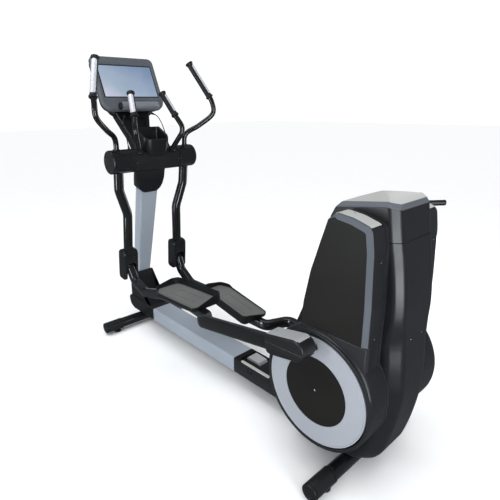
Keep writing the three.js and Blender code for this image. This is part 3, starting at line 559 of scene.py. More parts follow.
boot_rear = SILVER_FRONT + 0.3
boot_base = filleted([(boot_rear, BASE_LOW), (boot_rear, 167), (972, 178, 34), (1001, 160, 34),
                      (986, 106, 44), (944, BASE_LOW, 40)], steps=8)
boot = [(702, 160)] + curve2((702, 164), (838, 176), (868, 364)) + [(871, 366), (943, 349), (947, 346)]
boot += curve2((947, 346), (972, 300), (976, 232)) + [(978, 160)]
piece("front_boot", merged(prism(boot_base, -BASE_HALF - 1, BASE_HALF + 1, "x", edge=7),
                           prism(boot, -60, 60, "x", edge=9)), "black_plastic", stands_for="front_base_cover")
collar = prism(rounded(-59, 59, -5, 75, 14), -46, -20, "z", edge=4)
piece("mast_collar", collar, "black_plastic", at=MAST)
for label, sign in (("left", -1), ("right", 1)):
    screw(f"boot_screw_{label}", (sign * 59.8, 958, 262), (sign, 0, 0), 7, "machined_steel")

# ---- mast, hub housing and accessory bin
MAST_DEPTH = 70
HUB_Y, HUB_Z = -9.4, 771    # the hub line, in the mast's frame


def mast_section(z):
    """The mast's rounded box at a height; it widens towards the hub."""
    half = 46 + z * 13 / 555
    return [(x, y, z) for x, y in rounded(-half, half, 0, MAST_DEPTH, 13)]


column = skin([mast_section(-150 + 891 * k / 24) for k in range(25)])
cross = tube([(-150, HUB_Y, HUB_Z), (0, HUB_Y, HUB_Z), (150, HUB_Y, HUB_Z)], 44, 48)
stub = tube([(-HUB_END + 12, HUB_Y, HUB_Z), (0, HUB_Y, HUB_Z), (HUB_END - 12, HUB_Y, HUB_Z)], 15, 32)
piece("mast_column", merged(column, cross, stub), "silver_paint", at=MAST, stands_for="mast")


def hub():
    """The barrel across the mast and the apron that narrows down it."""
    wall = HUB_R - 5
    end = HUB_SEAM - 0.4
    ring = filleted([(wall, -end), (HUB_R, -end, 1.5), (HUB_R, -end + 9), (HUB_R - 1, -end + 9.6),
                     (HUB_R - 1, -end + 11), (HUB_R, -end + 11.6), (HUB_R, end - 11.6), (HUB_R - 1, end - 11),
                     (HUB_R - 1, end - 9.6), (HUB_R, end - 9), (HUB_R, end, 1.5), (wall, end)], steps=3)
    barrel = turned(ring, (0, HUB_Y, HUB_Z), (1, HUB_Y, HUB_Z), sides=96, closed=True)
    loops = []
    for drop, half in [(-8, 92), (-60, 91.5), (-125, 90), (-160, 83), (-185, 72), (-200, 58), (-208, 46)]:
        shrink = max(0, (-150 - drop) / 14)
        rear, front, front_half = -16 + shrink, MAST_DEPTH + 7 - shrink, min(half, 70)
        plan = filleted([(-half, rear, 12), (half, rear, 12), (half, 20, 8), (front_half, front, 14),
                         (-front_half, front, 14), (-half, 20, 8)])
        loops.append([(a, b, HUB_Z + drop) for a, b in plan])
    apron = carved(skin(loops), tube([(-200, HUB_Y, HUB_Z), (200, HUB_Y, HUB_Z)], HUB_R - 2, 64))
    return merged(barrel, apron)


piece("hub_barrel", hub(), "black_plastic", at=MAST, stands_for="hub_housing")
for label, x in (("left", -135), ("right", 138)):
    seat = (x, -HUB_R * 0.99, -HUB_R * 0.13)
    screw(f"hub_screw_{label}", seat, (0, -1, -0.13), 5, "black_paint", at=AT_HUB)
screw("apron_screw", (0, -16.5, HUB_Z - 176), (0, -1, -0.1), 4, "black_paint", at=MAST)


def bin_shell():
    """The accessory bin: a rounded mouth that rises to the rear, over a front that narrows downwards."""
    def top(v):
        return max(1229, min(1290, 1229 + (v - 597) * 0.62))

    def level(half, rear, front, radius, height):
        return [(a, b, height(b) if callable(height) else height)
                for a, b in rounded(-half, half, front, rear, radius, radius, 12, 12, steps=10)]
    return skin([
        level(54, 724, 626, 26, 1112), level(60, 724, 610, 32, 1132), level(70, 724, 598, 38, 1156),
        level(80, 724, 591, 44, 1184), level(83, 724, 589, 46, lambda b: top(b) - 14),
        level(83, 724, 589, 46, lambda b: top(b) - 3), level(82, 723, 590, 45, lambda b: top(b) - 0.8),
        level(79, 721, 592, 42, top), level(75, 719, 594.5, 38.5, lambda b: top(b) - 0.8),
        level(72.5, 718, 595.5, 37.5, lambda b: top(b) - 3.5), level(71, 716, 600, 36, 1200),
        level(68, 714, 602, 33, 1191), level(60, 706, 610, 26, 1190)])


piece("accessory_bin_shell", bin_shell(), "black_plastic", stands_for="accessory_tray", sharp=40)
liner = prism(rounded(-58, 58, 612, 704, 24), 1190.2, 1193, "z", edge=1.2)
piece("accessory_bin_liner", liner, "mat_rubber")

# ---- neck and console
neck_line = [(-58, -20, 18), (58, -20, 18), (66, 90, 60), (116, 262, 20), (-116, 262, 20), (-66, 90, 60)]
neck = prism(filleted(neck_line), -12, 48, "y", edge=9)
hollow_line = [(-34, 36, 14), (34, 36, 14), (46, 104, 30), (66, 210, 20), (-66, 210, 20), (-46, 104, 30)]
hollow = prism(filleted(hollow_line), -20, -5, "y")
ribs = [prism(rounded(-70, 70, v, v + 4, 1.5), 44, 56, "y") for v in range(60, 200, 18)]
console_rim = prism(rounded(-192, 192, -168, 144, 58, 58, 34, 34, steps=10), 26.4, 62, "y", edge=14, steps=6)
hump = prism(rounded(-150, 150, -186, 104, 50, steps=10), 50, 92, "y", edge=24, steps=8)
vents = [prism(rounded(-60, 60, v, v + 5, 2.4), 88, 100, "y") for v in range(-10, 74, 14)]
port = prism(rounded(-28, 28, -120, -86, 6), 86, 100, "y")
piece("console_neck", carved(neck, hollow, *ribs), "black_plastic", at=NECK)
piece("console_rear_shell", merged(console_rim, carved(hump, *vents, port)), "black_plastic", at=SCREEN,
      stands_for="console_back")

SCREEN_W = 175    # half the display's width and height
SCREEN_H = 98
PAINTED_GLOW_W = 169    # half of the part that glows with the painted gradient
PAINTED_GLOW_H = 92.5


def bezel():
    """The frame round the screen, with a rolled outer edge and a bevelled window."""
    outer = rounded(-202, 202, -174, 150, 62, 62, 34, 34, steps=12)
    inner = rounded(-SCREEN_W - 0.3, SCREEN_W + 0.3, -SCREEN_H - 0.3, SCREEN_H + 0.3, 3, steps=12)
    loops = [[(a, depth, b) for a, b in shrunk(outer, inset)] for depth, inset in
             [(26, 2), (24, 0.4), (22, 0), (11, 0), (7, 0.8), (4, 2.6), (1.6, 5.4), (0.4, 8.4), (0, 11.5)]]
    loops += [[(a, depth, b) for a, b in shrunk(inner, -grow)] for depth, grow in
              [(0, 12), (0.2, 5), (0.8, 3), (1.8, 1.2), (3, 0.4), (8, 0)]]
    return skin(loops)


piece("console_face", bezel(), "bezel_plastic", at=SCREEN, stands_for="console_bezel", sharp=40)
# The ledge is bezel plastic painted lighter: painted light on it.
rest = prism(rounded(-40, -0.3, -178, -138, 13, steps=8), -113, 140, "x", edge=11, steps=6)
piece("reading_ledge", rest, "ledge_plastic", at=SCREEN, stands_for="console_ledge")
rest_end = prism(rounded(-40.2, 0, -178.2, -137.8, 13, steps=8), -114.2, -96, "x", edge=11, steps=6)
piece("reading_ledge_end", rest_end, "black_plastic", at=SCREEN)


def lit_screen():
    """A glossy display whose glass glows with a painted soft gradient, pale at the lower left and blue at the
    upper right, with a thin border that does not glow.
    """
    material = bpy.data.materials.new("lit_screen")
    material.use_nodes = True
    tree = material.node_tree
    shader = tree.nodes["Principled BSDF"]
    shader.inputs["Roughness"].default_value = 0.12
    shader.inputs["Coat Weight"].default_value = 1.0
    shader.inputs["Coat Roughness"].default_value = 0.03
    shader.inputs["Emission Strength"].default_value = 0.95
    where = node(tree, "ShaderNodeTexCoord").outputs["Object"]
    across = node(tree, "ShaderNodeSeparateXYZ", {"Vector": where})

    def share(socket, low, high):
        limits = {"Value": socket, "From Min": low, "From Max": high}
        return node(tree, "ShaderNodeMapRange", limits).outputs["Result"]

    def maths(operation, first, second=0.5):
        return node(tree, "ShaderNodeMath", {0: first, 1: second}, operation=operation).outputs[0]

    haze = node(tree, "ShaderNodeTexNoise", {"Vector": where, "Scale": 7.0, "Detail": 2.0})
    rise = maths("ADD", share(across.outputs["X"], -SCREEN_W * MM, SCREEN_W * MM),
                 share(across.outputs["Z"], -SCREEN_H * MM, SCREEN_H * MM))
    mixed = maths("ADD", rise, haze.outputs["Fac"])
    # painted glow: the emitted gradient stands in for the light that the screen glass shows
    ramp = node(tree, "ShaderNodeValToRGB", {"Fac": share(mixed, 0.35, 2.3)})
    stops = ramp.color_ramp.elements
    stops[0].position, stops[0].color = 0.0, (0.78, 0.72, 0.86, 1)
    stops[1].position, stops[1].color = 1.0, (0.20, 0.28, 0.44, 1)
    middle = stops.new(0.42)
    middle.color = (0.38, 0.47, 0.60, 1)
    glow_x = maths("LESS_THAN", maths("ABSOLUTE", across.outputs["X"]), PAINTED_GLOW_W * MM)
    glow_z = maths("LESS_THAN", maths("ABSOLUTE", across.outputs["Z"]), PAINTED_GLOW_H * MM)
    painted_glow_mask = maths("MULTIPLY", glow_x, glow_z)
    tree.links.new(blend(tree, painted_glow_mask, (0, 0, 0, 1), ramp.outputs["Color"]), shader.inputs["Emission Color"])
    dark = blend(tree, haze.outputs["Fac"], (0.006, 0.007, 0.009, 1), (0.012, 0.013, 0.016, 1))
    tree.links.new(dark, shader.inputs["Base Color"])
    return material


LOOK["lit_screen"] = lit_screen()
SLOT["lit_screen"] = "screen_glass"
glass = prism(rounded(-SCREEN_W, SCREEN_W, -SCREEN_H, SCREEN_H, 3), 2, 7.7, "y", edge=0.8)
piece("display", glass, "lit_screen", at=SCREEN, stands_for="console_screen", local=True)

# ---- fixed handles and all four grips
FIXED_HANDLE = [(104, 631, 1156), (108, 622, 1166), (158, 562, 1276), (132, 606, 1349),
                (126.5, 619.3, 1370.5)]
FIXED_GRIP_TOP = (99, 686, 1478)


def grip(name, start, end, sign, body="frame", at=ROOT, stands_for=("", "")):
    """A rubber sleeve with a collar and a flared cap, and the steel contact plate let into it."""
    start, end = Vector(start), Vector(end)
    length = (end - start).length
    axis = (end - start).normalized()
    outward = Vector((1, -1.1, 0))
    outward = (outward - axis * outward.dot(axis)).normalized()
    other = axis.cross(outward)
    r = GRIP_R
    profile = filleted([
        (HANDLE_R - 1, 1), (r + 3, 0, 2), (r + 4, 3, 1.5), (r + 4, 9, 2), (r + 0.6, 13, 3), (r - 0.3, 18, 2),
        (r - 0.3, length - 20, 4), (r + 1, length - 16, 3), (r + 4.8, length - 8, 4),
        (r + 3.6, length - 1.4, 3), (r - 4, length, 3), (0, length - 0.4)], closed=False, steps=4)
    sleeve = turned(profile, start, end, sides=48)
    piece(f"{name}_sleeve", sleeve, "grip_rubber", body, at, stands_for[0], sign)
    low, high = 21, length - 23
    rows = [(0, 0.5), (1.2, 0.7), (3.5, 0.86), (7, 0.98)]
    loops = []
    spans = rows + [(high - low - a, b) for a, b in reversed(rows)]
    for rise, spread in spans:
        here = start + axis * (low + rise)
        angles = [-spread + 2 * spread * k / 20 for k in range(21)]
        fade = [1 - 0.8 * abs(a / spread) ** 10 for a in angles]
        outer = [(r + 0.9 * f, a) for a, f in zip(angles, fade)]
        loops.append([here + outward * radius * math.cos(a) + other * radius * math.sin(a)
                      for radius, a in outer + [(r - 1.6, a) for a in reversed(angles)]])
    piece(f"{name}_contact", skin(loops), "contact_steel", body, at, stands_for[1], sign)


def grommet(name, here, towards, body, at, sign):
    """A soft ring where a handle tube enters a moulding."""
    r = HANDLE_R
    ring = filleted([(r - 1, -9), (r + 5, -9, 2), (r + 5, 1, 2), (r + 1.5, 4, 1), (r - 1, 4)])
    piece(name, turned(ring, here, towards, sides=40, closed=True), "black_plastic", body, at, sign=sign)


for side, sign, _ in SIDES:
    route = bent(FIXED_HANDLE, 60, steps=14)
    piece(f"fixed_bar_{side}", tube(route, HANDLE_R, 32), "black_paint", stands_for=f"fixed_handle_{side}",
          sign=sign)
    grommet(f"fixed_bar_grommet_{side}", FIXED_HANDLE[1], (110, 618.4, 1170.4), "frame", ROOT, sign)
    grip(f"fixed_{side}", FIXED_HANDLE[3], FIXED_GRIP_TOP, sign,
         stands_for=(f"fixed_grip_{side}", f"fixed_plate_{side}"))

# ---- swing arms, at the hub axis
LOWER_TUBE = [(218, 0, -40), (216, 4, -165), (166, 4, -315), (PIVOT_X, 0, -580)]
UPPER_TUBE = [(224, 0, 40), (233, 0, 126), (300, -44, 183), (373, -86, 259), (372, -72, 320), (362, -45, 361)]
GRIP_START = (369, -56, 343)
GRIP_TOP = (293, 61, 529)
SEAM_START = HUB_SEAM + 0.4


def swing_arm():
    """Hub barrel, lower tube with its fork and pin, and the slimmer handle tube above."""
    barrel = turned(filleted([
        (30, SEAM_START), (HUB_R, SEAM_START, 1.5), (HUB_R, HUB_END - 26), (HUB_R - 1, HUB_END - 25.4),
        (HUB_R - 1, HUB_END - 24), (HUB_R, HUB_END - 23.4), (HUB_R, HUB_END, 7), (HUB_R - 12, HUB_END, 2),
        (HUB_R - 14, HUB_END - 2.5, 2), (0, HUB_END - 2)], closed=False), (0, 0, 0), (1, 0, 0), sides=96)
    lower = tube(bent(LOWER_TUBE, 110, steps=16), SWING_TUBE_R, 40)
    upper = tube(smooth_curve(UPPER_TUBE, 70), HANDLE_R, 32)
    bridge = prism(rounded(PIVOT_X - 32, PIVOT_X + 32, -20, 20, 8), -598, -570, "z", edge=3)
    parts = [barrel, lower, upper, bridge]
    for x in (PIVOT_X - 32, PIVOT_X + 25):
        parts.append(prism(rounded(-20, 20, -658, -575, 19.9, 19.9, 3, 3, steps=10), x, x + 7, "x", edge=1.5))
    parts.append(turned(filleted([(0, -30), (10, -30, 2), (10, 30, 2), (0, 30)], closed=False),
                        (PIVOT_X, 0, -SWING_LENGTH), (PIVOT_X + 1, 0, -SWING_LENGTH), sides=40))
    return merged(*parts)


def pivot_cover():
    """A rounded box over the lower pivot, open below and slotted behind for the pedal arm."""
    outline = rounded(-40, 40, -732, -538, 26, steps=10)
    shell = prism(outline, PIVOT_X - 47, PIVOT_X + 47, "x", edge=11, steps=6)
    room = prism(rounded(-33, 33, -790, -545, 6, 6, 20, 20), PIVOT_X - 41, PIVOT_X + 41, "x", edge=4)
    slot = prism(rounded(PIVOT_X - 29, PIVOT_X + 29, -800, -620, 4, 4, 20, 20), -60, 0, "y")
    return carved(shell, room, slot)


for side, sign, _ in SIDES:
    where = {"body": f"{side}_swing", "at": SWING[side]}
    piece(f"swing_arm_{side}_tube", swing_arm(), "black_paint", stands_for=f"swing_arm_{side}", sign=sign,
          **where)
    piece(f"pivot_box_{side}", pivot_cover(), "black_plastic", stands_for=f"pivot_cover_{side}", sign=sign,
          **where)
    seat = (sign * (PIVOT_X - 24), -39.6, -580)
    screw(f"pivot_box_screw_{side}", seat, (0, -1, 0), 4.5, "black_paint", **where)
    grommet(f"swing_grommet_{side}", (227.6, 0, 66), (228.6, 0, 76), sign=sign, **where)
    grip(f"swing_{side}", GRIP_START, GRIP_TOP, sign, f"{side}_swing", SWING[side],
         (f"swing_grip_{side}", f"swing_plate_{side}"))

# ---- pedal arms, trays and crank covers, at the crank pin
ARM_ROUTE = [(ARM_X, 34, 2), (ARM_X, 600, -58), (205, 676, -96), (170, 860, -103.5), (170, 1120, -103.5),
             (PIVOT_X, 1330, -146), (PIVOT_X, 1446, -98), (PIVOT_X, 1490, -24)]


def pedal_arm():
    """The bent rail from the crank to the lower pivot, its end boss and the seat of the tray."""
    rail = tube(bent(ARM_ROUTE, 70, steps=14), ARM_R, 40, power=3.0, tall=1.2)
    boss = turned(filleted([(10.3, -24), (19, -24, 2), (19, 24, 2), (10.3, 24)]),
                  (PIVOT_X, ARM_LENGTH, 0), (PIVOT_X + 1, ARM_LENGTH, 0), sides=48, closed=True)
    neck_line = rounded(ARM_LENGTH - 34, ARM_LENGTH - 8, -26, 2, 5)
    neck_block = prism(neck_line, PIVOT_X - 18, PIVOT_X + 18, "x", edge=3)
    seat = prism(rounded(132, 204, 830, 1040, 8), -92, -74.2, "z", edge=3)
    return merged(rail, boss, neck_block, seat)


TRAY_X0, TRAY_X1, TRAY_S0, TRAY_S1 = 74, 258, 722, 1112
TRAY_LOW, TRAY_FLOOR, TRAY_WALL, TRAY_LIP = -73.7, -61, -20, -53
MAT_TOP = -56


def tray_plan(inset=0.0):
    """Outline of the pedal: square heel, and a toe cut back on its outer side."""
    points = [(TRAY_X0, TRAY_S0, 34), (TRAY_X1, TRAY_S0, 34), (TRAY_X1, TRAY_S1 - 62, 60),
              (TRAY_X1 - 40, TRAY_S1, 44), (TRAY_X0 + 10, TRAY_S1, 60), (TRAY_X0, TRAY_S1 - 50, 40)]
    outline = filleted(points, steps=10)
    return shrunk(outline, inset) if inset else outline


def eased(value, low, high):
    """How far a value is from one limit to another, with a soft start and finish."""
    share = min(1, max(0, (value - low) / (high - low)))
    return share * share * (3 - 2 * share)


def wall_height(x, s):
    """Top of the tray's wall: high inboard and round the toe, falling to a low lip outboard."""
    low = eased(x, TRAY_X0 + 40, TRAY_X1 - 44) * (1 - 0.55 * eased(s, TRAY_S1 - 96, TRAY_S1 - 40))
    return TRAY_WALL + (TRAY_LIP - TRAY_WALL) * low


def pedal_tray():
    """The tray from its underside, up over the rolled rim of its wall and down to its floor."""
    plan = tray_plan()

    def level(inset, height=None, below=0.0):
        return [(x, s, wall_height(x, s) - below if height is None else height)
                for x, s in shrunk(plan, inset)]

    underside = [level(inset, TRAY_LOW + rise) for inset, rise in ((9, 0), (3, 0.6), (0.6, 4), (0, 9))]
    rim = [level(inset, below=below) for inset, below in
           ((0, 3.5), (0.7, 1.1), (2.4, 0), (4.3, 0.5), (5.4, 2.4))]
    floor = [level(6.4, TRAY_FLOOR + 3.5), level(8, TRAY_FLOOR + 1), level(12, TRAY_FLOOR)]
    return skin(underside + rim + floor)


def pedal_mat():
    """A rubber mat with a bevelled edge and a moulded line set in from it."""
    line = MAT_TOP - 1.3
    levels = [(7.2, TRAY_FLOOR + 0.4), (7.2, MAT_TOP - 1.2), (8.4, MAT_TOP), (17, MAT_TOP), (17.6, line),
              (19.4, line), (20, MAT_TOP)]
    mat = skin([[(x, s, height) for x, s in tray_plan(inset)] for inset, height in levels])
    strips = [(x, x + 2.2, TRAY_S0 + 70, TRAY_S1 - 110) for x in (TRAY_X0 + 62, TRAY_X1 - 62)]
    strips.append((TRAY_X0 + 70, TRAY_X1 - 72, TRAY_S1 - 118, TRAY_S1 - 115.8))
    return carved(mat, *[prism(rounded(*strip, 1), MAT_TOP - 1.2, MAT_TOP + 4, "z") for strip in strips])


COVER_HALF = 38
COVER_R = 42


def crank_cover():
    """The capsule over the rear of a pedal arm, with a bevelled rim and a seam round its sides."""
    outline = [(16 + COVER_R * math.cos(math.radians(a)), 18 + COVER_R * math.sin(math.radians(a)))
               for a in range(84, 271, 9)]
    outline += filleted([(16, -24), (158, -43, 27), (158, 41, 14), (22, 60)], closed=False)[1:-1]
    shell = prism(outline, ARM_X - COVER_HALF, ARM_X + COVER_HALF, "x", edge=8, steps=3)
    rear, front = -26.2, 158.4
    outer = rounded(ARM_X - 60, ARM_X + 60, rear - 30, front + 30, 10)
    inner = rounded(ARM_X - COVER_HALF + 1.1, ARM_X + COVER_HALF - 1.1, rear + 1.5, front - 1.1, 8)
    low, high = 9, 10.2
    seam = skin([[(a, b, c) for a, b in loop] for loop, c in
                 ((outer, low), (outer, high), (inner, high), (inner, low))], closed=True)
    hole = turned([(0, 44), (3.2, 44), (3.2, 60), (0, 60)], (ARM_X, 128, 0), (ARM_X, 128, 1), sides=20)
    return carved(shell, seam, hole)


def up_faces_painted_light(normal):
    """Painted light: the second finish, pale, on faces that look up, and the first elsewhere."""
    return 1 if normal.z > 0.9 else 0


for side, sign, _ in SIDES:
    where = {"body": f"{side}_pedal", "at": PEDAL[side], "sign": sign}
    piece(f"pedal_rail_{side}", pedal_arm(), "black_paint", stands_for=f"pedal_arm_{side}", **where)
    piece(f"foot_tray_{side}", pedal_tray(), "black_plastic", stands_for=f"pedal_tray_{side}", **where)
    piece(f"foot_mat_{side}", pedal_mat(), "mat_rubber", stands_for=f"pedal_mat_{side}", **where)
    # The capsule is black plastic; its up-facing faces get painted light in pale grey.
    piece(f"crank_capsule_{side}", crank_cover(), ["black_plastic", "cover_top"],
          stands_for=f"crank_cover_{side}", paint=up_faces_painted_light, **where)


# ---- crank, discs and drive
def on_crank(profile, closed=False, sides=128, axis_z=0.0):
    """A turned piece about the crank axis; the profile is (radius, x)."""
    return turned(profile, (0, CRANK.y, CRANK.z + axis_z), (1, CRANK.y, CRANK.z + axis_z), sides, closed)


for side, sign, up in SIDES:
    where = {"body": "crank", "sign": sign}
    bore = DISC_CORE_R + 0.3
    ring = filleted([
        (bore, DISC_IN), (DISC_R, DISC_IN), (DISC_R, DISC_OUT, 1.6), (DISC_R - 5, DISC_OUT, 0.6),
        (DISC_R - 6, DISC_OUT - 1.2), (DISC_R - 8, DISC_OUT - 1.2), (DISC_R - 9, DISC_OUT - 0.3, 0.6),
        (bore, DISC_OUT - 0.3, 1)], steps=3)
    piece(f"crank_ring_{side}", on_crank(ring, closed=True), "ring_silver", stands_for=f"disc_ring_{side}",
          **where)
    core = filleted([
        (0, DISC_IN), (DISC_CORE_R, DISC_IN), (DISC_CORE_R, DISC_OUT - 2, 1.4),
        (DISC_CORE_R - 14, DISC_OUT - 2.4), (30, DISC_OUT - 4.5), (0, DISC_OUT - 4.5)], closed=False, steps=3)
    piece(f"crank_core_{side}", on_crank(core), "panel_plastic", stands_for=f"disc_core_{side}", **where)
    screw(f"crank_core_screw_{side}", (sign * (DISC_OUT - 4.6), CRANK.y, CRANK.z), (sign, 0, 0), 6,
          "machined_steel", "crank")


def crank_shaft():
    """Axle, the two crank arms and their pins."""
    parts = [on_crank(filleted([(0, -219), (15, -219, 2), (15, 219, 2), (0, 219)], closed=False), sides=48)]
    for _, sign, up in SIDES:
        ends = sorted((CRANK.z - up * 22, CRANK.z + up * (THROW + 22)))
        arm = rounded(CRANK.y - 22, CRANK.y + 22, *ends, 21, steps=10)
        inside, outside = sign * 208, sign * 240
        parts.append(prism(arm, inside, sign * 219, "x", edge=1.5))
        pin = filleted([(0, inside), (12, inside), (12, outside, 1.5), (0, outside)], closed=False)
        parts.append(on_crank(pin, sides=40, axis_z=up * THROW))
    return merged(*parts)


piece("crank_axle", crank_shaft(), "machined_steel", body="crank", stands_for="crank_shaft")
for name, look in (("base_frame", "black_paint"), ("drive_pulley", "machined_steel"),
                   ("generator_rotor", "machined_steel"), ("drive_belt", "cable_rubber")):
    shown = frame["nodes"][name]
    shown.data.materials.clear()
    shown.data.materials.append(LOOK[look])

# ---- drive tower
TOWER_REAR = [(-868, 84), (-912, 96), (-944, 134), (-966, 196), (-988, 290), (-1003, 400), (-1003, 500),
              (-994, 640), (-990, 780), (-974, 910), (-961, 978)]
TOWER_FRONT = [(-530, 84), (-530, 190), (-512, 300), (-506, 391), (-524, 500), (-590, 660), (-640, 860),
               (-680, 978)]
CORNER_R = 38    # of the rear corners above the waist
CHAMFER, CHAMFER_ROUND = 0.75, 0.62    # the cut of a rear corner and its rounding, as shares of its radius


def along(points, height):
    """The y of a profile at a height."""
    for (y0, z0), (y1, z1) in zip(points, points[1:]):
        if height <= z1:
            return y0 + (y1 - y0) * max(0, height - z0) / (z1 - z0)
    return points[-1][0]


def tower_section(rear, front, z_rear, z_front, half, radius, nose=10, arch=0.0):
    """A loop round the tower: chamfered behind, rounded in front, sloped and arched from rear to front."""
    cut, soft = radius * CHAMFER, radius * CHAMFER_ROUND
    plan = filleted([
        (-half, rear + cut, soft), (-half + cut, rear, soft), (half - cut, rear, soft),
        (half, rear + cut, soft), (half, front, nose), (-half, front, nose)], steps=5)
    out = []
    for x, y in plan:
        share = (y - rear) / (front - rear)
        out.append((x, y, z_rear + (z_front - z_rear) * share + arch * (1 - (2 * share - 1) ** 2)))
    return out


def corner_radius(height):
    """The rear corners are broad low down and tighten above the waist."""
    return 60 - (60 - CORNER_R) * eased(height, 600, 730)


rear_curve = [(p.x, p.y) for p in smooth_curve([(y, z, 0) for y, z in TOWER_REAR], 60)]
heights = sorted({round(z, 1) for _, z in rear_curve} | {SEAM_Z - 0.8, SEAM_Z - 2.4})
tower_loops = [tower_section(along(rear_curve, z), along(TOWER_FRONT, z), z, z, TOWER_HALF, corner_radius(z))
               for z in heights if z <= SEAM_Z]
piece("tower_shell", skin(tower_loops), "charcoal_plastic", stands_for="tower_cover", sharp=40)

CROWN = ((-935, 1100), (-725, 1080.5))    # rear and front edges of the hood's top, painted pale grey as painted light (y, z)
CROWN_INSET = 13.5
CROWN_ARCH = 21.5    # how far the top with its painted light rises between them
CROWN_RISE = 4    # and how much more across the middle
CAP_LOOPS = [    # rear (y, z), front (y, z), inset from the full width, corner radius, arch, finish above: 1 is the bevel's painted sheen, 2 the top's painted light
    ((-961, SEAM_Z + 1.6), (-680, SEAM_Z + 1.6), 1.4, CORNER_R, 0, 0),
    ((-960.5, SEAM_Z + 2.6), (-681, SEAM_Z + 2.6), 0, CORNER_R, 0, 0),
    ((-952, 1036), (-692, 1028), 0, CORNER_R, 6, 0), ((-945.5, 1080), (-707, 1056), 0, CORNER_R, 23, 0),
    ((-944.8, 1083), (-709, 1060), 0.6, CORNER_R, 24, 1), ((-943.5, 1086), (-711, 1064), 2.4, 36, 24, 1),
    ((-937.5, 1097), (-722, 1077), 11, 32, 22, 1), (*CROWN, CROWN_INSET, 31, CROWN_ARCH, 2)]
cap_loops = [tower_section(rear[0], front[0], rear[1], front[1], TOWER_HALF - inset, radius, 12, arch)
             for rear, front, inset, radius, arch, _ in CAP_LOOPS]
cap_painted_light_tones = [each[-1] for each in CAP_LOOPS]


def crown_loop(inset, radius):
    """A loop on the domed top, painted pale grey as painted light, so far in from its edge."""
    (rear, z_rear), (front, z_front) = CROWN
    half = TOWER_HALF - CROWN_INSET
    dome = []
    for x, y, _ in tower_section(rear + inset, front - inset, 0, 0, half - inset, radius, radius * 0.5):
        share = (y - rear) / (front - rear)
        bulge = 4 * share * (1 - share) * (CROWN_ARCH + CROWN_RISE * (1 - (x / half) ** 2))
        dome.append((x, y, z_rear + (z_front - z_rear) * share + bulge))
    return dome


for inset, radius in ((4.5, 27), (13, 23), (25, 18), (40, 14), (57, 10), (74, 7), (86, 5), (93, 4)):
    cap_loops.append(crown_loop(inset, radius))
    cap_painted_light_tones.append(2)
# The hood is painted by how its faces turn: charcoal sides, painted sheen on the bevel band and painted light
# in pale grey on the top.
piece("tower_hood", skin(cap_loops, finishes=cap_painted_light_tones),
      ["charcoal_plastic", "band_plastic", "grey_plastic"], stands_for="tower_cap", sharp=24)
for label, place, facing in (
        ("upper", (-TOWER_HALF + 0.3, -926, 632), (-1, 0, 0)),
        ("lower", (-TOWER_HALF + 0.3, -890, 180), (-1, 0, 0)),
        ("upper_right", (TOWER_HALF - 0.3, -926, 632), (1, 0, 0)), ("rear", (-38, -994.5, 632), (0, -1, 0)),
        ("rear_right", (38, -994.5, 632), (0, -1, 0))):
    screw(f"tower_screw_{label}", place, facing, 3, "machined_steel")

# ---- side pods
POD = filleted([
    (-934, 500), (-937, 780, 300), (-931, 968, 160), (-920, 1043, 34), (-850, 1064, 160), (-786, 1072, 26),
    (-760, 1050, 22), (-734, 970, 200), (-696, 853, 200), (-670, 730, 200), (-659, 640, 100), (-664, 500)],
    steps=8)
POD_IN = TOWER_HALF + 0.3
PANEL_LOW = 640
PANEL = [(-936.2, PANEL_LOW + 1)] + [(y, z) for y, z in POD if z >= PANEL_LOW + 8] + [(-659.2, PANEL_LOW + 1)]
TRIM_WIDTH = 19


def stack(outline, levels):
    """A body built up along X from one outline, moved in by a different amount at each level."""
    return skin([[(x, y, z) for y, z in shrunk(outline, inset)] for x, inset in levels])


def framed(rim, width):
    """The panel outline moved in: by a width along its rear and top, by a narrow rim down its front."""
    out = []
    for i, point in enumerate(PANEL):
        run = Vector(PANEL[min(i + 1, len(PANEL) - 1)]) - Vector(PANEL[max(i - 1, 0)])
        depth = width + (rim - width) * eased(point[0], -806, -752)
        out.append(tuple(Vector(point) + Vector((run.y, -run.x)).normalized() * depth))
    return [(y, max(z, PANEL_LOW + 1)) for y, z in out]


DRUM_SIDES = 160
FAIRING = 15


def drum():
    """The round housing of the disc, with a groove, a fairing over its top and a raised rim."""
    profile = [    # x, radius beyond the rim, share of the fairing
        (POD_IN, 0, 1), (134, 0, 1), (134.6, -1.3, 1), (136.2, -1.3, 1), (136.8, 0, 1), (160, 0, 1),
        (196, 0, 1), (212, 0, 0.95), (222, 0, 0.62), (226, 0, 0.3), (228, 0, 0), (231, 0, 0), (234.4, -1, 0),
        (236, -3.4, 0), (236, -9, 0), (235.2, -11.6, 0), (232, -13, 0), (206, -13, 0)]
    loops = []
    for x, grow, fair in profile:
        loop = []
        for k in range(DRUM_SIDES):
            a = 2 * math.pi * k / DRUM_SIDES
            lift = max(0, math.sin(a)) ** 0.8 * FAIRING * fair
            r = RIM_R + grow + lift
            loop.append((x, CRANK.y + r * math.cos(a), CRANK.z + r * math.sin(a)))
        loops.append(loop)
    return skin(loops)


def pod_shell():
    """The upright housing, grooved round its side and cut clear of the disc, with its drum."""
    body = stack(POD, [(POD_IN, 2), (POD_IN + 2, 0), (142, 0), (142.6, 1.4), (144.4, 1.4), (145, 0), (207, 0),
                       (211, 0.8), (213.5, 2.6)])
    return merged(carved(body, on_crank([(0, 205), (RIM_R - 10, 205), (RIM_R - 10, 240), (0, 240)])), drum())


def pod_skirt():
    """The flat shoulder under the panel, cut round to the drum."""
    shoulder = [(-935.5, PANEL_LOW - 0.6), (-935, 520), (-663, 520), (-659.5, PANEL_LOW - 0.6)]
    return carved(stack(shoulder, [(200, 0), (219, 0), (221, 1), (222, 3)]),
                  on_crank([(0, 190), (RIM_R - 6, 190), (RIM_R - 6, 240), (0, 240)]))


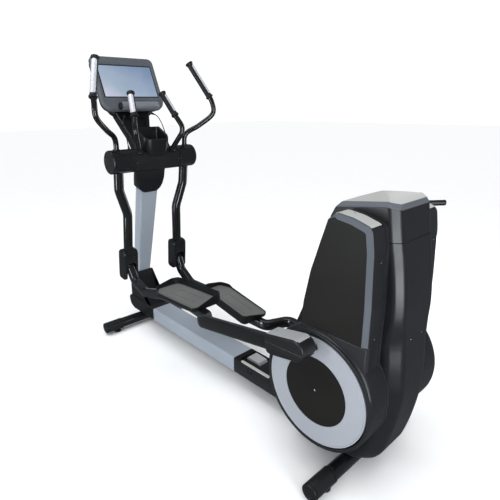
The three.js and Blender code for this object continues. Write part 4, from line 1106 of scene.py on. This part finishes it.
TRIM_LEVELS = [    # x, rim down the front, width along the rear and top
    (210, 1.2, 1.2), (213, 0.6, 0.6), (215, 0.8, 1.4), (222.6, 1.4, TRIM_WIDTH - 2), (223.4, 2, TRIM_WIDTH),
    (218, 2, TRIM_WIDTH)]
FACE_LEVELS = [(216, 1.8, TRIM_WIDTH + 0.6), (223.6, 1.8, TRIM_WIDTH + 0.6), (224.6, 2.4, TRIM_WIDTH + 1.2),
               (225, 3.6, TRIM_WIDTH + 2.6)]


def plate_stack(levels):
    """A plate built up along X from the panel outline."""
    return skin([[(x, y, z) for y, z in framed(rim, width)] for x, rim, width in levels])


for side, sign, _ in SIDES:
    where = {"sign": sign, "sharp": 38}
    piece(f"pod_housing_{side}", pod_shell(), "charcoal_plastic", stands_for=f"pod_{side}", **where)
    piece(f"pod_shoulder_{side}", pod_skirt(), "charcoal_plastic", **where)
    piece(f"pod_trim_{side}", plate_stack(TRIM_LEVELS), "band_plastic", **where)
    piece(f"pod_face_{side}", plate_stack(FACE_LEVELS), "panel_plastic", stands_for=f"pod_panel_{side}",
          **where)
    # The pale grey plate on the pod's top is painted light, standing in for the light that the top catches.
    crest = [(y, z) for y, z in POD if z > 1038 and y < -772]
    plate = shrunk(crest, -1.4)[1:-1] + shrunk(crest, 4)[-2:0:-1]
    top_plate_painted_light = prism(plate, 152, 209, "x", edge=1, steps=2)
    dimple = turned([(0, -3), (3.4, -3), (3.4, 8), (0, 8)], (166, -822, 1068), (166, -822, 1069), sides=20)
    piece(f"pod_top_painted_light_{side}", carved(top_plate_painted_light, dimple), "grey_plastic", sign=sign)
    for label, height in (("upper", 930), ("lower", 662)):
        screw(f"pod_screw_{side}_{label}", (sign * 178, -936.4, height), (0, -1, 0), 3.2, "machined_steel")

handle_boss = turned(filleted([(0, 225.3), (18, 225.3), (17, 232, 3), (13, 241, 3), (0, 241)], closed=False),
                     (0, -853, 1040), (1, -853, 1040), sides=40)
bar_start, bar_end = Vector((236, -853, 1042)), Vector((281, -898, 1044))
bar_line = [(0, -4), (11, -4), (11, 60), (10.4, 61), (10.4, 63), (11, 64), (11, 84, 6), (0, 88)]
bar = turned(filleted(bar_line, closed=False), bar_start, bar_end, sides=40)
piece("lifting_handle", merged(handle_boss, bar), "black_plastic", stands_for="lift_handle")


# ---- floor, world and lights
# The floor and the sun stay out of reflections, so that the dark mouldings read dark.
FLOOR_REACH = 30000
LAMPS = [    # name, place in metres, width, height, watts
    ("side", (-3.6, 0.6, 0.9), 0.5, 2.8, 65), ("rear", (-1.5, -3.7, 0.8), 0.8, 2.8, 95),
    ("right", (3.2, 0.4, 1.2), 0.6, 2.8, 28), ("top", (-0.9, 0.9, 3.6), 1.2, 1.8, 16)]
AIM = Vector((0, 0, 0.7))


def studio():
    """A white floor that runs out of sight, a pale surround, an overhead sky and soft boxes."""
    world = bpy.data.worlds.new("studio")
    bpy.context.scene.world = world
    world.use_nodes = True
    tree = world.node_tree
    shown = tree.nodes["Background"]
    shown.inputs["Color"].default_value = (1.0, 1.0, 1.0, 1)
    shown.inputs["Strength"].default_value = 1.05
    dim = node(tree, "ShaderNodeBackground", {"Color": (0.9, 0.95, 1.0, 1), "Strength": 0.16})
    seen = node(tree, "ShaderNodeLightPath").outputs["Is Camera Ray"]
    either = node(tree, "ShaderNodeMixShader", {0: seen, 1: dim.outputs[0], 2: shown.outputs[0]})
    tree.links.new(either.outputs[0], tree.nodes["World Output"].inputs["Surface"])
    plan = [(-FLOOR_REACH, -FLOOR_REACH), (FLOOR_REACH, -FLOOR_REACH), (FLOOR_REACH, FLOOR_REACH),
            (-FLOOR_REACH, FLOOR_REACH)]
    floor = skin([[(x, y, z) for x, y in plan] for z in (-1, 0)])
    mesh = bpy.data.meshes.new("floor")
    floor.to_mesh(mesh)
    floor.free()
    pale = shaded("floor", (0.9, 0.9, 0.9), 0.9, vary=0.01, grain=0.02, grain_size=4, specular=0.0)
    mesh.materials.append(pale)
    ground = placed("floor", mesh)
    ground.visible_glossy = False
    sky = bpy.data.lights.new("sky", "SUN")
    sky.energy = 3.0
    sky.angle = math.radians(80)
    lamps = [(sky, (-0.5, -0.5, 3.2))]
    for label, place, wide, high, power in LAMPS:
        lamp = bpy.data.lights.new(label, "AREA")
        lamp.shape = "RECTANGLE"
        lamp.size = wide
        lamp.size_y = high
        lamp.energy = power
        lamp.color = (0.9, 0.95, 1.0)
        lamps.append((lamp, place))
    for lamp, place in lamps:
        thing = placed(lamp.name, lamp)
        thing.location = place
        thing.rotation_mode = "QUATERNION"
        thing.rotation_quaternion = (AIM - Vector(place)).to_track_quat("-Z", "Y")
        thing.visible_glossy = lamp.type != "SUN"


bpy.context.scene.view_settings.view_transform = "Standard"
studio()
